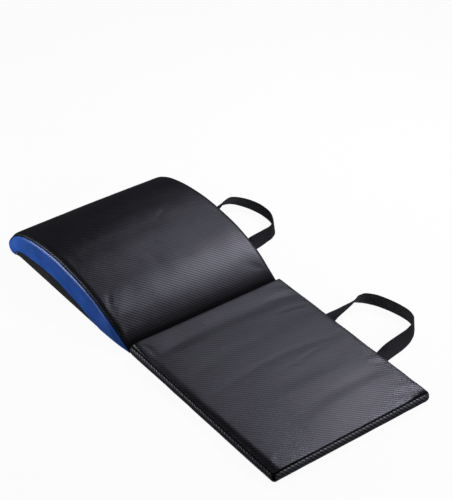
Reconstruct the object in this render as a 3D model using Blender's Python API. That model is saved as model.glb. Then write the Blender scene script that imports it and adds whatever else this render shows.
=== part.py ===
"""Folding ab mat: a crowned foam wedge with a flat foam pad sewn to its thin end.

+X points to the side that carries the two webbing handles, +Y from the fold line to
the wedge's thick end and +Z up. The origin is the centre of the wedge's base, and both
halves lie unfolded on the ground.
"""
import math
from collections import namedtuple

import bmesh
import bpy
from mathutils import Euler, Vector

# Overall sizes, in metres
MAT_WIDTH = 0.310
WEDGE_LENGTH = 0.385
WEDGE_HEIGHT = 0.073
PAD_LENGTH = 0.377
PAD_THICKNESS = 0.020

# Covers and the room that sewn or butted pieces keep between them
COVER_THICKNESS = 0.0012
SEAM_GAP = 0.0003
BASE_ROLL = 2 * COVER_THICKNESS
CORE_INSET = COVER_THICKNESS + 2 * SEAM_GAP

# Cushion forms: rolled edges, swollen sides and crowned tops
WEDGE_FLARE = 0.005
WEDGE_SHOULDER_ROLL = 0.0105
WEDGE_SIDE_PUFF = 0.004
WEDGE_CROWN = 0.002
WEDGE_LOWER_PANEL_HEIGHT = 0.029
WEDGE_TAIL_SETBACK = 0.0034
WEDGE_TAIL_HEIGHT = 3 * COVER_THICKNESS
PAD_EDGE_ROLL = 0.003
PAD_SIDE_PUFF = 0.003
PAD_CROWN = 0.002
PAD_CORNER_RADIUS = 0.0055

# The hinge strip's two halves, each a flap with a tongue sewn inside the cover
HINGE_FLAP_REACH = 0.006
HINGE_TONGUE_LENGTH = 0.010

# Webbing handles: a loop on the +X side of each half
WEBBING_WIDTH = 0.025
WEBBING_THICKNESS = 0.0018
WEDGE_HANDLE_REACH = 0.102
PAD_HANDLE_REACH = 0.106
HANDLE_SPAN = 0.131
WEDGE_HANDLE_OFFSET = 0.187
PAD_HANDLE_OFFSET = 0.1895
HANDLE_TAB_DEPTH = 0.018
HANDLE_TAB_REACH = 0.0015

# Side outline of the wedge, from above the tail to under the nose: (length, height)
WEDGE_PROFILE_SHARES = (
    (0.026, 0.134), (0.078, 0.338), (0.152, 0.553), (0.236, 0.732), (0.326, 0.867),
    (0.430, 0.951), (0.556, 1.000), (0.684, 0.966), (0.788, 0.881), (0.875, 0.749),
    (0.945, 0.547), (0.986, 0.315), (1.000, 0.160), (0.990, 0.055), (0.966, 0.010))
WEDGE_HEM_SHARE = 0.940
# The wall's ribs stand upright as far as the first, and the last one's foot is at the second
WEDGE_NOSE_SHARES = (0.780, 0.920)

# Arched top of the lower side panel: (wedge length, panel height)
LOWER_PANEL_SHARES = (
    (0.235, 0.00), (0.285, 0.24), (0.330, 0.42), (0.400, 0.66), (0.480, 0.87),
    (0.560, 0.99), (0.620, 1.00), (0.700, 0.95), (0.780, 0.84), (0.845, 0.70),
    (0.888, 0.53), (0.908, 0.32), (0.916, 0.00))

# Handle loops seen from above, from the end nearer +Y: (reach, half span, lean), where
# a lean of 1 lies flat and 0 stands on edge
PAD_LOOP_SHARES = (
    (0.00, 1.00, 1.00), (0.12, 1.02, 0.85), (0.29, 1.03, 0.69), (0.46, 1.06, 0.56),
    (0.57, 1.08, 0.44), (0.68, 1.035, 0.23), (0.79, 0.89, 0.08), (0.88, 0.65, 0.04),
    (0.945, 0.34, 0.04), (0.99, 0.00, 0.04), (1.00, -0.28, 0.04), (0.965, -0.51, 0.05),
    (0.85, -0.71, 0.09), (0.72, -0.83, 0.17), (0.57, -0.90, 0.32), (0.41, -0.935, 0.48),
    (0.25, -0.95, 0.67), (0.11, -0.97, 0.88), (0.00, -1.00, 1.00))
WEDGE_LOOP_SHARES = (
    (0.00, 1.00, 1.00), (0.165, 0.97, 0.92), (0.375, 0.96, 0.66), (0.58, 1.04, 0.42),
    (0.74, 1.00, 0.30), (0.86, 0.77, 0.20), (0.955, 0.42, 0.12), (1.00, 0.03, 0.08),
    (0.98, -0.37, 0.07), (0.865, -0.75, 0.08), (0.73, -0.92, 0.13), (0.53, -0.99, 0.24),
    (0.32, -1.02, 0.45), (0.145, -1.00, 0.84), (0.00, -1.00, 1.00))

# A strap's rounded ends: (reach, height), as shares of half its thickness
STRAP_NOSE_SHARES = ((0.70, 0.70), (0.95, 0.30))

# How finely the forms are drawn
PROFILE_STEPS = 2
LOOP_STEPS = 2
CORNER_STEPS = 4
SIDE_STEPS = 6
BASE_STEPS = 8
CROWN_SHARES = (1.0, 0.9, 0.6, 0.3, 0.0)
PAD_CROWN_SHARES = (0.94, 0.75, 0.45)

# Places across a section: the edge roll runs from 0 to 1, the side wall from 1 to 2 and
# the roll into the base from 2 to 3. The covers' seam is on the edge roll.
WEDGE_SEAM_TURN = 0.63
PAD_SEAM_TURN = 0.45
HEM_TURN = 2.67
SHOULDER_SHARES = (1.0, 0.67, 0.33)
WALL_TURNS = (1.2, 1.4, 1.6, 1.8, 2.1, HEM_TURN)
BOXING_TURNS = (1.33, 1.67, 2.0)
WEDGE_CORE_TURNS = (2.5, 2.0, 1.5, 1.0, 0.66, 0.33)
PAD_CORE_TURNS = (3.0, 2.5, 2.0, 1.5, 1.0, 0.5)
# Shares of the wedge's length by which its flare is full, and of its height by which its
# walls swell fully
FLARE_SHARE = 0.2
SWELL_SHARE = 0.4
ROLL_HEIGHT_SHARE = 0.4
ARCH_SEARCH_STEPS = 24

HALF_WIDTH = MAT_WIDTH / 2
FOLD_Y = -WEDGE_LENGTH / 2
FOLD_Z = -SEAM_GAP / 2
FLAP_HALF_WIDTH = HALF_WIDTH - PAD_CORNER_RADIUS
LOOP_REST_HEIGHT = COVER_THICKNESS + SEAM_GAP + WEBBING_THICKNESS / 2
STRAP_STANDOFF = HANDLE_TAB_REACH + SEAM_GAP + WEBBING_THICKNESS / 2
CUT_OVERRUN = 0.004

Rib = namedtuple("Rib", "top inward foot half_width roll base_roll rise swell")
Edge = namedtuple("Edge", "anchor normal")


def clear_scene():
    for obj in list(bpy.data.objects):
        bpy.data.objects.remove(obj, do_unlink=True)


def make_material(name, colour, roughness):
    material = bpy.data.materials.new(name)
    material.use_nodes = True
    shader = material.node_tree.nodes["Principled BSDF"]
    shader.inputs["Base Color"].default_value = (*colour, 1.0)
    shader.inputs["Roughness"].default_value = roughness
    shader.inputs["Metallic"].default_value = 0.0
    return material


def make_empty(name, location):
    empty = bpy.data.objects.new(name, None)
    empty.location = location
    bpy.context.collection.objects.link(empty)
    return empty


def make_object(name, mesh_builder, material, parent):
    """Mesh object from a filled bmesh, shaded smooth up to its sharp edges"""
    mesh = bpy.data.meshes.new(name)
    mesh_builder.to_mesh(mesh)
    mesh_builder.free()
    mesh.shade_smooth()
    mesh.set_sharp_from_angle(angle=math.radians(40))
    mesh.materials.append(material)
    obj = bpy.data.objects.new(name, mesh)
    obj.parent = parent
    bpy.context.collection.objects.link(obj)
    return obj


def smooth_curve(points, steps):
    """Centripetal curve through the points, with the same number of steps in each span"""
    points = [Vector(point) for point in points]
    padded = [2 * points[0] - points[1], *points, 2 * points[-1] - points[-2]]
    curve = [points[0]]
    for before, start, end, after in zip(padded, padded[1:], padded[2:], padded[3:]):
        first = math.sqrt((start - before).length)
        middle = math.sqrt((end - start).length)
        last = math.sqrt((after - end).length)
        slope_in = middle * ((start - before) / first - (end - before) / (first + middle)
                             + (end - start) / middle)
        slope_out = middle * ((end - start) / middle - (after - start) / (middle + last)
                              + (after - end) / last)
        for step in range(1, steps + 1):
            t = step / steps
            curve.append((2 * t**3 - 3 * t**2 + 1) * start + (t**3 - 2 * t**2 + t) * slope_in
                         + (3 * t**2 - 2 * t**3) * end + (t**3 - t**2) * slope_out)
    return curve


def run_length(points):
    return sum((after - before).length for before, after in zip(points, points[1:]))


def read_table(pairs, place):
    """Straight-line reading of a table of (place, value)"""
    for (x0, y0), (x1, y1) in zip(pairs, pairs[1:]):
        if x0 <= place <= x1:
            return y0 + (y1 - y0) * (place - x0) / (x1 - x0)
    return 0.0


def face_outward(builder):
    """Turn a closed mesh the right way out, going by the sign of its volume"""
    if builder.calc_volume(signed=True) < 0:
        bmesh.ops.reverse_faces(builder, faces=builder.faces)


def shell(name, outer, inner, material, parent, closed=False):
    """Thin closed sheet between two grids of points, row by row. Closed rows are rings,
    and the last ring gets a cap."""
    builder = bmesh.new()
    grids = [[[builder.verts.new(point) for point in row] for row in grid]
             for grid in (outer, inner)]
    rows, columns = len(outer), len(outer[0])
    for grid, flip in zip(grids, (False, True)):
        for row in range(rows - 1):
            for column in range(columns if closed else columns - 1):
                after = (column + 1) % columns
                face = [grid[row][column], grid[row + 1][column],
                        grid[row + 1][after], grid[row][after]]
                builder.faces.new(face[::-1] if flip else face)
        if closed:
            builder.faces.new(grid[-1] if flip else grid[-1][::-1])
    if closed:
        rim = [(grids[0][0][i], grids[1][0][i]) for i in range(columns)]
        rim.append(rim[0])
    else:
        border = ([(0, column) for column in range(columns)]
                  + [(row, columns - 1) for row in range(1, rows)]
                  + [(rows - 1, column) for column in range(columns - 2, -1, -1)]
                  + [(row, 0) for row in range(rows - 2, -1, -1)])
        rim = [(grids[0][row][column], grids[1][row][column]) for row, column in border]
    for (outer_a, inner_a), (outer_b, inner_b) in zip(rim, rim[1:]):
        builder.faces.new((outer_a, outer_b, inner_b, inner_a))
    face_outward(builder)
    return make_object(name, builder, material, parent)


def loft(name, rings, material, parent):
    """Closed solid through rings of points, with a cap on each end"""
    builder = bmesh.new()
    loops = [[builder.verts.new(point) for point in ring] for ring in rings]
    for lower, upper in zip(loops, loops[1:]):
        for i in range(len(lower)):
            after = (i + 1) % len(lower)
            builder.faces.new((lower[i], lower[after], upper[after], upper[i]))
    caps = [builder.faces.new(loops[0][::-1]), builder.faces.new(loops[-1])]
    bmesh.ops.triangulate(builder, faces=caps)
    face_outward(builder)
    return make_object(name, builder, material, parent)


def extrusion(name, outline, start, direction, material, parent):
    """Prism of an outline, given as points, swept from start along direction"""
    builder = bmesh.new()
    base = builder.faces.new([builder.verts.new(point + start) for point in outline])
    swept = bmesh.ops.extrude_face_region(builder, geom=[base])
    tops = [item for item in swept["geom"] if isinstance(item, bmesh.types.BMVert)]
    bmesh.ops.translate(builder, verts=tops, vec=direction)
    bmesh.ops.recalc_face_normals(builder, faces=builder.faces)
    return make_object(name, builder, material, parent)


def block(name, low, high, material, parent):
    """Box between two corners"""
    outline = [Vector((x, y, low.z)) for x, y in
               ((low.x, low.y), (high.x, low.y), (high.x, high.y), (low.x, high.y))]
    return extrusion(name, outline, Vector(), Vector((0, 0, high.z - low.z)), material, parent)


def cut_away(target, cutter):
    """Subtract the cutter, which stays as a hidden guide"""
    cutter.hide_render = True
    cutter.display_type = "WIRE"
    modifier = target.modifiers.new(cutter.name, "BOOLEAN")
    modifier.operation = "DIFFERENCE"
    modifier.solver = "EXACT"
    modifier.object = cutter


# Wedge. Its pieces are drawn from the fold line, so y is the distance from the fold.

def wedge_half_width(y):
    """Half the wedge's width, which flares behind the fold"""
    share = min(y / (FLARE_SHARE * WEDGE_LENGTH), 1)
    return HALF_WIDTH + WEDGE_FLARE * share * (2 - share)


def wedge_ribs():
    """Sections along the wedge: a point on the side outline, the way in from it, and the
    foot of the side wall under it"""
    corners = [(0, WEDGE_TAIL_SETBACK, WEDGE_TAIL_HEIGHT)]
    corners += [(0, y * WEDGE_LENGTH, z * WEDGE_HEIGHT) for y, z in WEDGE_PROFILE_SHARES]
    corners.append((0, WEDGE_HEM_SHARE * WEDGE_LENGTH, 0))
    line = smooth_curve(corners, PROFILE_STEPS)
    upright_end, last_foot = (share * WEDGE_LENGTH for share in WEDGE_NOSE_SHARES)
    upright = next(i for i, point in enumerate(line) if point.y > upright_end)
    ribs = []
    for i, point in enumerate(line):
        point.z = max(point.z, 0)
        along = line[min(i + 1, len(line) - 1)] - line[max(i - 1, 0)]
        inward = Vector((0, along.z, -along.y)).normalized()
        foot = Vector((0, point.y, 0))
        if i > upright:
            spread = run_length(line[upright:i + 1]) / run_length(line[upright:])
            foot.y = line[upright].y + spread * (last_foot - line[upright].y)
        least = COVER_THICKNESS + SEAM_GAP
        limit = max(ROLL_HEIGHT_SHARE * point.z, least)
        swell = min((point - foot).length / (SWELL_SHARE * WEDGE_HEIGHT), 1)
        ribs.append(Rib(point, inward, foot, wedge_half_width(foot.y),
                        min(WEDGE_SHOULDER_ROLL, limit), min(BASE_ROLL, limit),
                        point.z / WEDGE_HEIGHT, swell))
    return ribs


def wedge_top_point(rib, share, side, inset):
    """Point of the crowned top, at a share of the way from its middle to the shoulder"""
    across = share * (rib.half_width - rib.roll)
    depth = inset - WEDGE_CROWN * rib.rise * (1 - share**2)
    point = rib.top + rib.inward * depth
    return Vector((side * across, point.y, point.z))


def wedge_wall_point(rib, turn, side, inset):
    """Point of the shoulder roll, the swollen side wall or the roll into the base"""
    if turn <= 1:
        angle = turn * math.pi / 2
        roll = max(rib.roll - inset, 0)
        across = rib.half_width - inset - roll * (1 - math.sin(angle))
        point = rib.top + rib.inward * (inset + roll * (1 - math.cos(angle)))
    elif turn <= 2:
        drop = turn - 1
        across = rib.half_width - inset + WEDGE_SIDE_PUFF * rib.swell * 4 * drop * (1 - drop)
        low = rib.foot + Vector((0, 0, max(rib.base_roll, inset)))
        high = rib.top + rib.inward * max(rib.roll, inset)
        point = high.lerp(low, drop)
    else:
        angle = (turn - 2) * math.pi / 2
        roll = max(rib.base_roll - inset, 0)
        across = rib.half_width - inset - roll * (1 - math.cos(angle))
        point = rib.foot + Vector((0, 0, inset + roll * (1 - math.sin(angle))))
    return Vector((side * across, point.y, point.z))


def arch_height(y):
    """Height of the lower panel's arched edge over the ground"""
    return WEDGE_LOWER_PANEL_HEIGHT * read_table(LOWER_PANEL_SHARES, y / WEDGE_LENGTH)


def lower_panel_turn(rib):
    """Where the wall crosses the lower panel's edge, or None on a rib with no panel"""
    if arch_height(rib.foot.y) <= rib.base_roll:
        return None
    above, below = 1.0, 2.0
    for _ in range(ARCH_SEARCH_STEPS):
        middle = (above + below) / 2
        point = wedge_wall_point(rib, middle, 1, 0)
        if point.z > arch_height(point.y):
            above = middle
        else:
            below = middle
    return below


def seam_shift(rib, shoulder):
    """Half the seam's gap, as a step along the shoulder roll or down the side wall"""
    if shoulder:
        return SEAM_GAP / 2 / (rib.roll * math.pi / 2)
    wall = (rib.top + rib.inward * rib.roll - rib.foot).length - rib.base_roll
    return SEAM_GAP / 2 / wall


def wedge_section(rib, turns_right, turns_left, shares, inset):
    """Points of one section, from the right wall over the top to the left wall"""
    right = [wedge_wall_point(rib, turn, 1, inset) for turn in turns_right]
    top = [wedge_top_point(rib, share, 1, inset) for share in shares]
    top += [wedge_top_point(rib, share, -1, inset) for share in reversed(shares[:-1])]
    left = [wedge_wall_point(rib, turn, -1, inset) for turn in turns_left]
    return right + top + left


def build_wedge_top(ribs, material, parent):
    grids = []
    for inset in (0, COVER_THICKNESS):
        grid = []
        for rib in ribs:
            edge = WEDGE_SEAM_TURN - seam_shift(rib, True)
            turns = [edge * share for share in SHOULDER_SHARES]
            grid.append(wedge_section(rib, turns, turns[::-1], CROWN_SHARES, inset))
        grids.append(grid)
    return shell("wedge_top_cover", *grids, material, parent)


def build_side_band(name, ribs, side, material, parent):
    """Blue upper wall, from the shoulder seam to the lower panel's arch or the base"""
    grids = []
    for inset in (0, COVER_THICKNESS):
        grid = []
        for rib in ribs:
            edge = WEDGE_SEAM_TURN + seam_shift(rib, True)
            turns = [edge, (edge + 1) / 2, 1.0]
            arch = lower_panel_turn(rib)
            if arch is None:
                turns += WALL_TURNS
            else:
                last = arch - seam_shift(rib, False)
                turns += [1 + (last - 1) * (i + 1) / len(WALL_TURNS)
                          for i in range(len(WALL_TURNS))]
            grid.append([wedge_wall_point(rib, turn, side, inset) for turn in turns])
        grids.append(grid)
    return shell(name, *grids, material, parent)


def build_lower_panel(name, ribs, side, material, parent):
    """Flat lens of black cloth under the side band's arch"""
    arched = [rib for rib in ribs if lower_panel_turn(rib) is not None]
    grids = []
    for inset in (0, COVER_THICKNESS):
        grid = []
        for rib in arched:
            first = lower_panel_turn(rib) + seam_shift(rib, False)
            turns = (first, (first + 2) / 2, 2.0, (2 + HEM_TURN) / 2, HEM_TURN)
            grid.append([wedge_wall_point(rib, turn, side, inset) for turn in turns])
        grids.append(grid)
    return shell(name, *grids, material, parent)


def build_wedge_core(ribs, material, parent):
    """Foam block that fills the covers, from behind the tail's folded edge"""
    thick = [rib for rib in ribs[:-PROFILE_STEPS]
             if rib.top.y > HINGE_FLAP_REACH or rib.foot.y > HINGE_FLAP_REACH]
    rings = [wedge_section(rib, WEDGE_CORE_TURNS, WEDGE_CORE_TURNS[::-1], CROWN_SHARES,
                           CORE_INSET) for rib in thick]
    return loft("wedge_foam_core", rings, material, parent)


def build_wedge_base(material, parent):
    """Flat grip cloth inside the side covers' rolled hems, from the hinge flap to the nose"""
    start, end = HINGE_FLAP_REACH + SEAM_GAP, WEDGE_HEM_SHARE * WEDGE_LENGTH - SEAM_GAP
    outline = []
    for step in range(BASE_STEPS + 1):
        y = start + (end - start) * step / BASE_STEPS
        outline.append(Vector((wedge_half_width(y) - BASE_ROLL - SEAM_GAP, y, 0)))
    outline += [Vector((-point.x, point.y, 0)) for point in reversed(outline)]
    return extrusion("wedge_base_cover", outline, Vector(), Vector((0, 0, COVER_THICKNESS)),
                     material, parent)


def wedge_wall_reach(ribs, y):
    """How far the side wall stands out at the top of a handle tab"""
    rib = min(ribs, key=lambda rib: abs(rib.foot.y - y))
    low, high = rib.base_roll, (rib.top + rib.inward * rib.roll).z
    turn = 2 - (LOOP_REST_HEIGHT + WEBBING_THICKNESS - low) / (high - low)
    return wedge_wall_point(rib, turn, 1, 0).x


# Pad. Its outline is a rectangle with round corners, centred on the pad.

def pad_outline():
    """Anchors inside the outline and the way out from each, counter-clockwise, starting
    in the middle of the corner at +X and -Y"""
    half_x = HALF_WIDTH - PAD_CORNER_RADIUS
    half_y = PAD_LENGTH / 2 - PAD_CORNER_RADIUS
    corners = [Vector((half_x, -half_y, 0)), Vector((half_x, half_y, 0)),
               Vector((-half_x, half_y, 0)), Vector((-half_x, -half_y, 0))]
    half_turn = CORNER_STEPS // 2
    edges = []
    for i, corner in enumerate(corners):
        following = corners[(i + 1) % len(corners)]
        for step in range(half_turn + 1):
            angle = math.pi / 2 * (i - (half_turn - step) / CORNER_STEPS)
            edges.append(Edge(corner, Vector((math.cos(angle), math.sin(angle), 0))))
        normal = edges[-1].normal
        for step in range(1, SIDE_STEPS):
            edges.append(Edge(corner.lerp(following, step / SIDE_STEPS), normal))
        for step in range(half_turn):
            angle = math.pi / 2 * (i + step / CORNER_STEPS)
            edges.append(Edge(following, Vector((math.cos(angle), math.sin(angle), 0))))
    return edges


def pad_crown(x, y):
    """Rise of the pad's top over its edges"""
    reach_x = HALF_WIDTH - PAD_EDGE_ROLL
    reach_y = PAD_LENGTH / 2 - PAD_EDGE_ROLL
    return PAD_CROWN * max(1 - (x / reach_x)**2, 0) * max(1 - (y / reach_y)**2, 0)


def pad_wall_point(edge, turn, inset):
    """Point of the edge roll, the swollen boxing or the roll into the base"""
    if turn <= 1:
        angle = turn * math.pi / 2
        roll = PAD_EDGE_ROLL - inset
        out = -inset - roll * (1 - math.sin(angle))
        z = PAD_THICKNESS - inset - roll * (1 - math.cos(angle))
    elif turn <= 2:
        drop = turn - 1
        out = PAD_SIDE_PUFF * 4 * drop * (1 - drop) - inset
        high, low = PAD_THICKNESS - PAD_EDGE_ROLL, BASE_ROLL
        z = high + (low - high) * drop
    else:
        angle = (turn - 2) * math.pi / 2
        roll = BASE_ROLL - inset
        out = -inset - roll * (1 - math.cos(angle))
        z = inset + roll * (1 - math.sin(angle))
    point = edge.anchor + edge.normal * (PAD_CORNER_RADIUS + out)
    return Vector((point.x, point.y, z))


def pad_top_ring(edges, share, inset):
    """Ring of the crowned top, at a share of the way from its middle to the edge roll"""
    ring = []
    for edge in edges:
        point = (edge.anchor + edge.normal * (PAD_CORNER_RADIUS - PAD_EDGE_ROLL)) * share
        ring.append(Vector((point.x, point.y,
                            PAD_THICKNESS - inset + pad_crown(point.x, point.y))))
    return ring


def build_pad_top(edges, material, parent):
    shift = SEAM_GAP / 2 / (PAD_EDGE_ROLL * math.pi / 2)
    grids = []
    for inset in (0, COVER_THICKNESS):
        rings = [[pad_wall_point(edge, turn, inset) for edge in edges]
                 for turn in (PAD_SEAM_TURN - shift, PAD_SEAM_TURN / 2)]
        rings += [pad_top_ring(edges, share, inset) for share in (1.0, *PAD_CROWN_SHARES)]
        grids.append(rings)
    return shell("pad_top_cover", *grids, material, parent, closed=True)


def build_boxing(name, edges, last_turns, material, parent):
    """One wall of the pad's boxing, from the seam on the edge roll down"""
    shift = SEAM_GAP / 2 / (PAD_EDGE_ROLL * math.pi / 2)
    turns = (PAD_SEAM_TURN + shift, (PAD_SEAM_TURN + 1) / 2, 1.0, *BOXING_TURNS, *last_turns)
    grids = []
    for inset in (0, COVER_THICKNESS):
        grids.append([[pad_wall_point(edge, turn, inset) for turn in turns] for edge in edges])
    return shell(name, *grids, material, parent)


def build_pad_base(edges, near, material, parent):
    """Flat grip cloth inside the boxing's rolled lower edge, as far as the hinge flap"""
    out = PAD_CORNER_RADIUS - BASE_ROLL - SEAM_GAP
    outline = [edge.anchor + edge.normal * out for edge in edges]
    for point in outline:
        point.y = min(point.y, near)
    return extrusion("pad_base_cover", outline, Vector(), Vector((0, 0, COVER_THICKNESS)),
                     material, parent)


def boxing_run(edges, side):
    """Edges along one wall, from corner seam to corner seam"""
    count = len(edges) // 4
    run = [edges[(side * count + step) % len(edges)] for step in range(count + 1)]
    turn = SEAM_GAP / 2 / PAD_CORNER_RADIUS
    for i, way in ((0, 1), (-1, -1)):
        normal = run[i].normal.copy()
        normal.rotate(Euler((0, 0, way * turn)))
        run[i] = Edge(run[i].anchor, normal)
    return run


def build_pad_core(edges, material, parent):
    rings = [[pad_wall_point(edge, turn, CORE_INSET) for edge in edges]
             for turn in PAD_CORE_TURNS]
    rings += [pad_top_ring(edges, share, CORE_INSET) for share in (1.0, *PAD_CROWN_SHARES)]
    return loft("pad_foam_core", rings, material, parent)


# Pieces that both halves have

def build_hinge_flap(name, way, material, parent):
    """Half of the hinge strip: a flap on the ground by the fold, and a tongue that steps
    up over the base cover to be sewn in. way is +1 for the wedge and -1 for the pad."""
    step = COVER_THICKNESS + SEAM_GAP
    near, bend, end = SEAM_GAP / 2, HINGE_FLAP_REACH, HINGE_FLAP_REACH + HINGE_TONGUE_LENGTH
    side = [(near, 0), (bend, 0), (bend, step), (end, step), (end, step + COVER_THICKNESS),
            (bend - COVER_THICKNESS, step + COVER_THICKNESS),
            (bend - COVER_THICKNESS, COVER_THICKNESS), (near, COVER_THICKNESS)]
    outline = [Vector((0, way * y, z)) for y, z in side]
    start = Vector((-FLAP_HALF_WIDTH, 0, 0))
    return extrusion(name, outline, start, -2 * start, material, parent)


def cut_tongue_recess(core, way, parent):
    """Room under the foam for the hinge strip's tongue"""
    end = HINGE_FLAP_REACH + HINGE_TONGUE_LENGTH + SEAM_GAP
    low = Vector((-HALF_WIDTH, min(-way * CUT_OVERRUN, way * end), -CUT_OVERRUN))
    high = Vector((HALF_WIDTH, max(-way * CUT_OVERRUN, way * end),
                   2 * (COVER_THICKNESS + SEAM_GAP)))
    cut_away(core, block(core.name + "_tongue_cutter", low, high, None, parent))


def build_handle_tab(name, wall_x, y, material, parent, cut_pieces):
    """Sewn end of a handle, flat in the seam between wall and base, with room cut for it"""
    low = Vector((HALF_WIDTH - HANDLE_TAB_DEPTH, y - WEBBING_WIDTH / 2,
                  COVER_THICKNESS + SEAM_GAP))
    high = Vector((wall_x + HANDLE_TAB_REACH, y + WEBBING_WIDTH / 2,
                   low.z + WEBBING_THICKNESS))
    tab = block(name, low, high, material, parent)
    gap = Vector((SEAM_GAP, SEAM_GAP, SEAM_GAP))
    room_low = low - gap
    room_low.z = -CUT_OVERRUN
    cutter = block(name + "_cutter", room_low, high + gap + Vector((CUT_OVERRUN, 0, 0)),
                   None, parent)
    for piece in cut_pieces:
        cut_away(piece, cutter)
    return tab


def strap_line(loop_shares, full_reach):
    """Middle of the webbing along the loop, and the way across it at each place"""
    line = smooth_curve([(reach * full_reach, span * HANDLE_SPAN / 2, lean * full_reach)
                         for reach, span, lean in loop_shares], LOOP_STEPS)
    middles, ways_across = [], []
    for i, point in enumerate(line):
        along = line[min(i + 1, len(line) - 1)] - line[max(i - 1, 0)]
        inward = Vector((along.y, -along.x, 0)).normalized()
        if i in (0, len(line) - 1):
            inward = Vector((0, -1 if i == 0 else 1, 0))
        lean = min(max(point.z / full_reach, 0), 1) * math.pi / 2
        edge_height = SEAM_GAP + WEBBING_THICKNESS / 2 * math.sin(lean)
        height = edge_height + math.cos(lean) * WEBBING_WIDTH / 2
        height += math.sin(lean)**4 * (LOOP_REST_HEIGHT - edge_height)
        middles.append(Vector((point.x, point.y, height - LOOP_REST_HEIGHT)))
        ways_across.append(math.cos(lean) * Vector((0, 0, 1)) + math.sin(lean) * inward)
    return middles, ways_across


def build_handle_strap(name, loop_shares, full_reach, location, material, parent):
    """Webbing loop: flat at its sewn ends, turning on edge where it lies on the ground.
    Its origin is on the line through the sewn ends, which it swings on, so the ends are
    rounded about that line."""
    middles, ways_across = strap_line(loop_shares, full_reach)
    half_width, half_thickness = WEBBING_WIDTH / 2, WEBBING_THICKNESS / 2
    rings = []
    for i, (middle, across) in enumerate(zip(middles, ways_across)):
        along = middles[min(i + 1, len(middles) - 1)] - middles[max(i - 1, 0)]
        if i in (0, len(middles) - 1):
            along = Vector((1 if i == 0 else -1, 0, 0))
        through = along.cross(across).normalized() * half_thickness
        side = across * half_width
        ring = (middle - side - through, middle + side - through,
                middle + side + through, middle - side + through)
        rings.append(ring)
        if i in (0, len(middles) - 1):
            back = along.normalized() * half_thickness
            nose = [[middle + (point - middle).lerp(side if point in ring[1:3] else -side,
                                                    1 - height) - back * reach
                     for point in ring] for reach, height in STRAP_NOSE_SHARES]
            rings = [*nose[::-1], *rings] if i == 0 else [*rings, *nose]
    strap = loft(name, rings, material, parent)
    strap.location = location
    return strap


def handle_ends(centre):
    """Where along the side the two ends of a handle are sewn in"""
    return {"rear": centre + HANDLE_SPAN / 2, "front": centre - HANDLE_SPAN / 2}


def build_wedge(materials):
    wedge = make_empty("wedge", Vector((0, FOLD_Y, 0)))
    ribs = wedge_ribs()
    wall_ribs = ribs[:-PROFILE_STEPS]
    build_wedge_top(ribs, materials["top_leather"], wedge)
    core = build_wedge_core(ribs, materials["foam"], wedge)
    panels = {}
    for word, side in (("right", 1), ("left", -1)):
        build_side_band("wedge_side_band_" + word, wall_ribs, side,
                        materials["blue_leather"], wedge)
        panels[word] = build_lower_panel("wedge_lower_panel_" + word, wall_ribs, side,
                                         materials["side_cloth"], wedge)
    build_wedge_base(materials["grip_cloth"], wedge)
    build_hinge_flap("wedge_hinge_flap", 1, materials["grip_cloth"], wedge)
    cut_tongue_recess(core, 1, wedge)
    ends = handle_ends(WEDGE_HANDLE_OFFSET)
    wall_x = max(wedge_wall_reach(ribs, y) for y in ends.values())
    for word, y in ends.items():
        build_handle_tab("wedge_handle_tab_" + word, wall_x, y, materials["webbing"], wedge,
                         (core, panels["right"]))
    root = Vector((wall_x + STRAP_STANDOFF, WEDGE_HANDLE_OFFSET, LOOP_REST_HEIGHT))
    build_handle_strap("wedge_handle_strap", WEDGE_LOOP_SHARES, WEDGE_HANDLE_REACH, root,
                       materials["webbing"], wedge)


def build_pad(materials):
    fold = make_empty("pad", Vector((0, FOLD_Y, FOLD_Z)))
    on_ground = make_empty("pad_ground", Vector((0, 0, -FOLD_Z)))
    on_ground.parent = fold
    centre_y = -SEAM_GAP - PAD_LENGTH / 2
    middle = make_empty("pad_middle", Vector((0, centre_y, 0)))
    middle.parent = on_ground
    edges = pad_outline()
    build_pad_top(edges, materials["top_leather"], middle)
    core = build_pad_core(edges, materials["foam"], middle)
    walls = {}
    for i, word in enumerate(("right", "hinge", "left", "front")):
        last_turns = ((2 + HEM_TURN) / 2, HEM_TURN)
        if word == "hinge":
            over_flap = (COVER_THICKNESS + SEAM_GAP) / BASE_ROLL
            last_turns = (2 + math.asin(1 - over_flap) / (math.pi / 2),)
        walls[word] = build_boxing("pad_boxing_" + word, boxing_run(edges, i), last_turns,
                                   materials["side_leather"], middle)
    build_pad_base(edges, -HINGE_FLAP_REACH - SEAM_GAP - centre_y, materials["grip_cloth"],
                   middle)
    build_hinge_flap("pad_hinge_flap", -1, materials["grip_cloth"], on_ground)
    cut_tongue_recess(core, -1, on_ground)
    for word, y in handle_ends(-PAD_HANDLE_OFFSET).items():
        build_handle_tab("pad_handle_tab_" + word, HALF_WIDTH + PAD_SIDE_PUFF, y,
                         materials["webbing"], on_ground, (core, walls["right"]))
    root = Vector((HALF_WIDTH + PAD_SIDE_PUFF + STRAP_STANDOFF, -PAD_HANDLE_OFFSET,
                   LOOP_REST_HEIGHT))
    build_handle_strap("pad_handle_strap", PAD_LOOP_SHARES, PAD_HANDLE_REACH, root,
                       materials["webbing"], on_ground)


def main():
    clear_scene()
    materials = {
        "top_leather": make_material("top_leather", (0.035, 0.035, 0.042), 0.38),
        "side_leather": make_material("side_leather", (0.045, 0.046, 0.050), 0.45),
        "blue_leather": make_material("blue_leather", (0.016, 0.045, 0.190), 0.40),
        "side_cloth": make_material("side_cloth", (0.020, 0.020, 0.022), 0.70),
        "grip_cloth": make_material("grip_cloth", (0.018, 0.018, 0.019), 0.85),
        "webbing": make_material("webbing", (0.015, 0.015, 0.017), 0.80),
        "foam": make_material("foam", (0.300, 0.300, 0.290), 0.95),
    }
    build_wedge(materials)
    build_pad(materials)


main()
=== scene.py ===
import math

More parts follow.
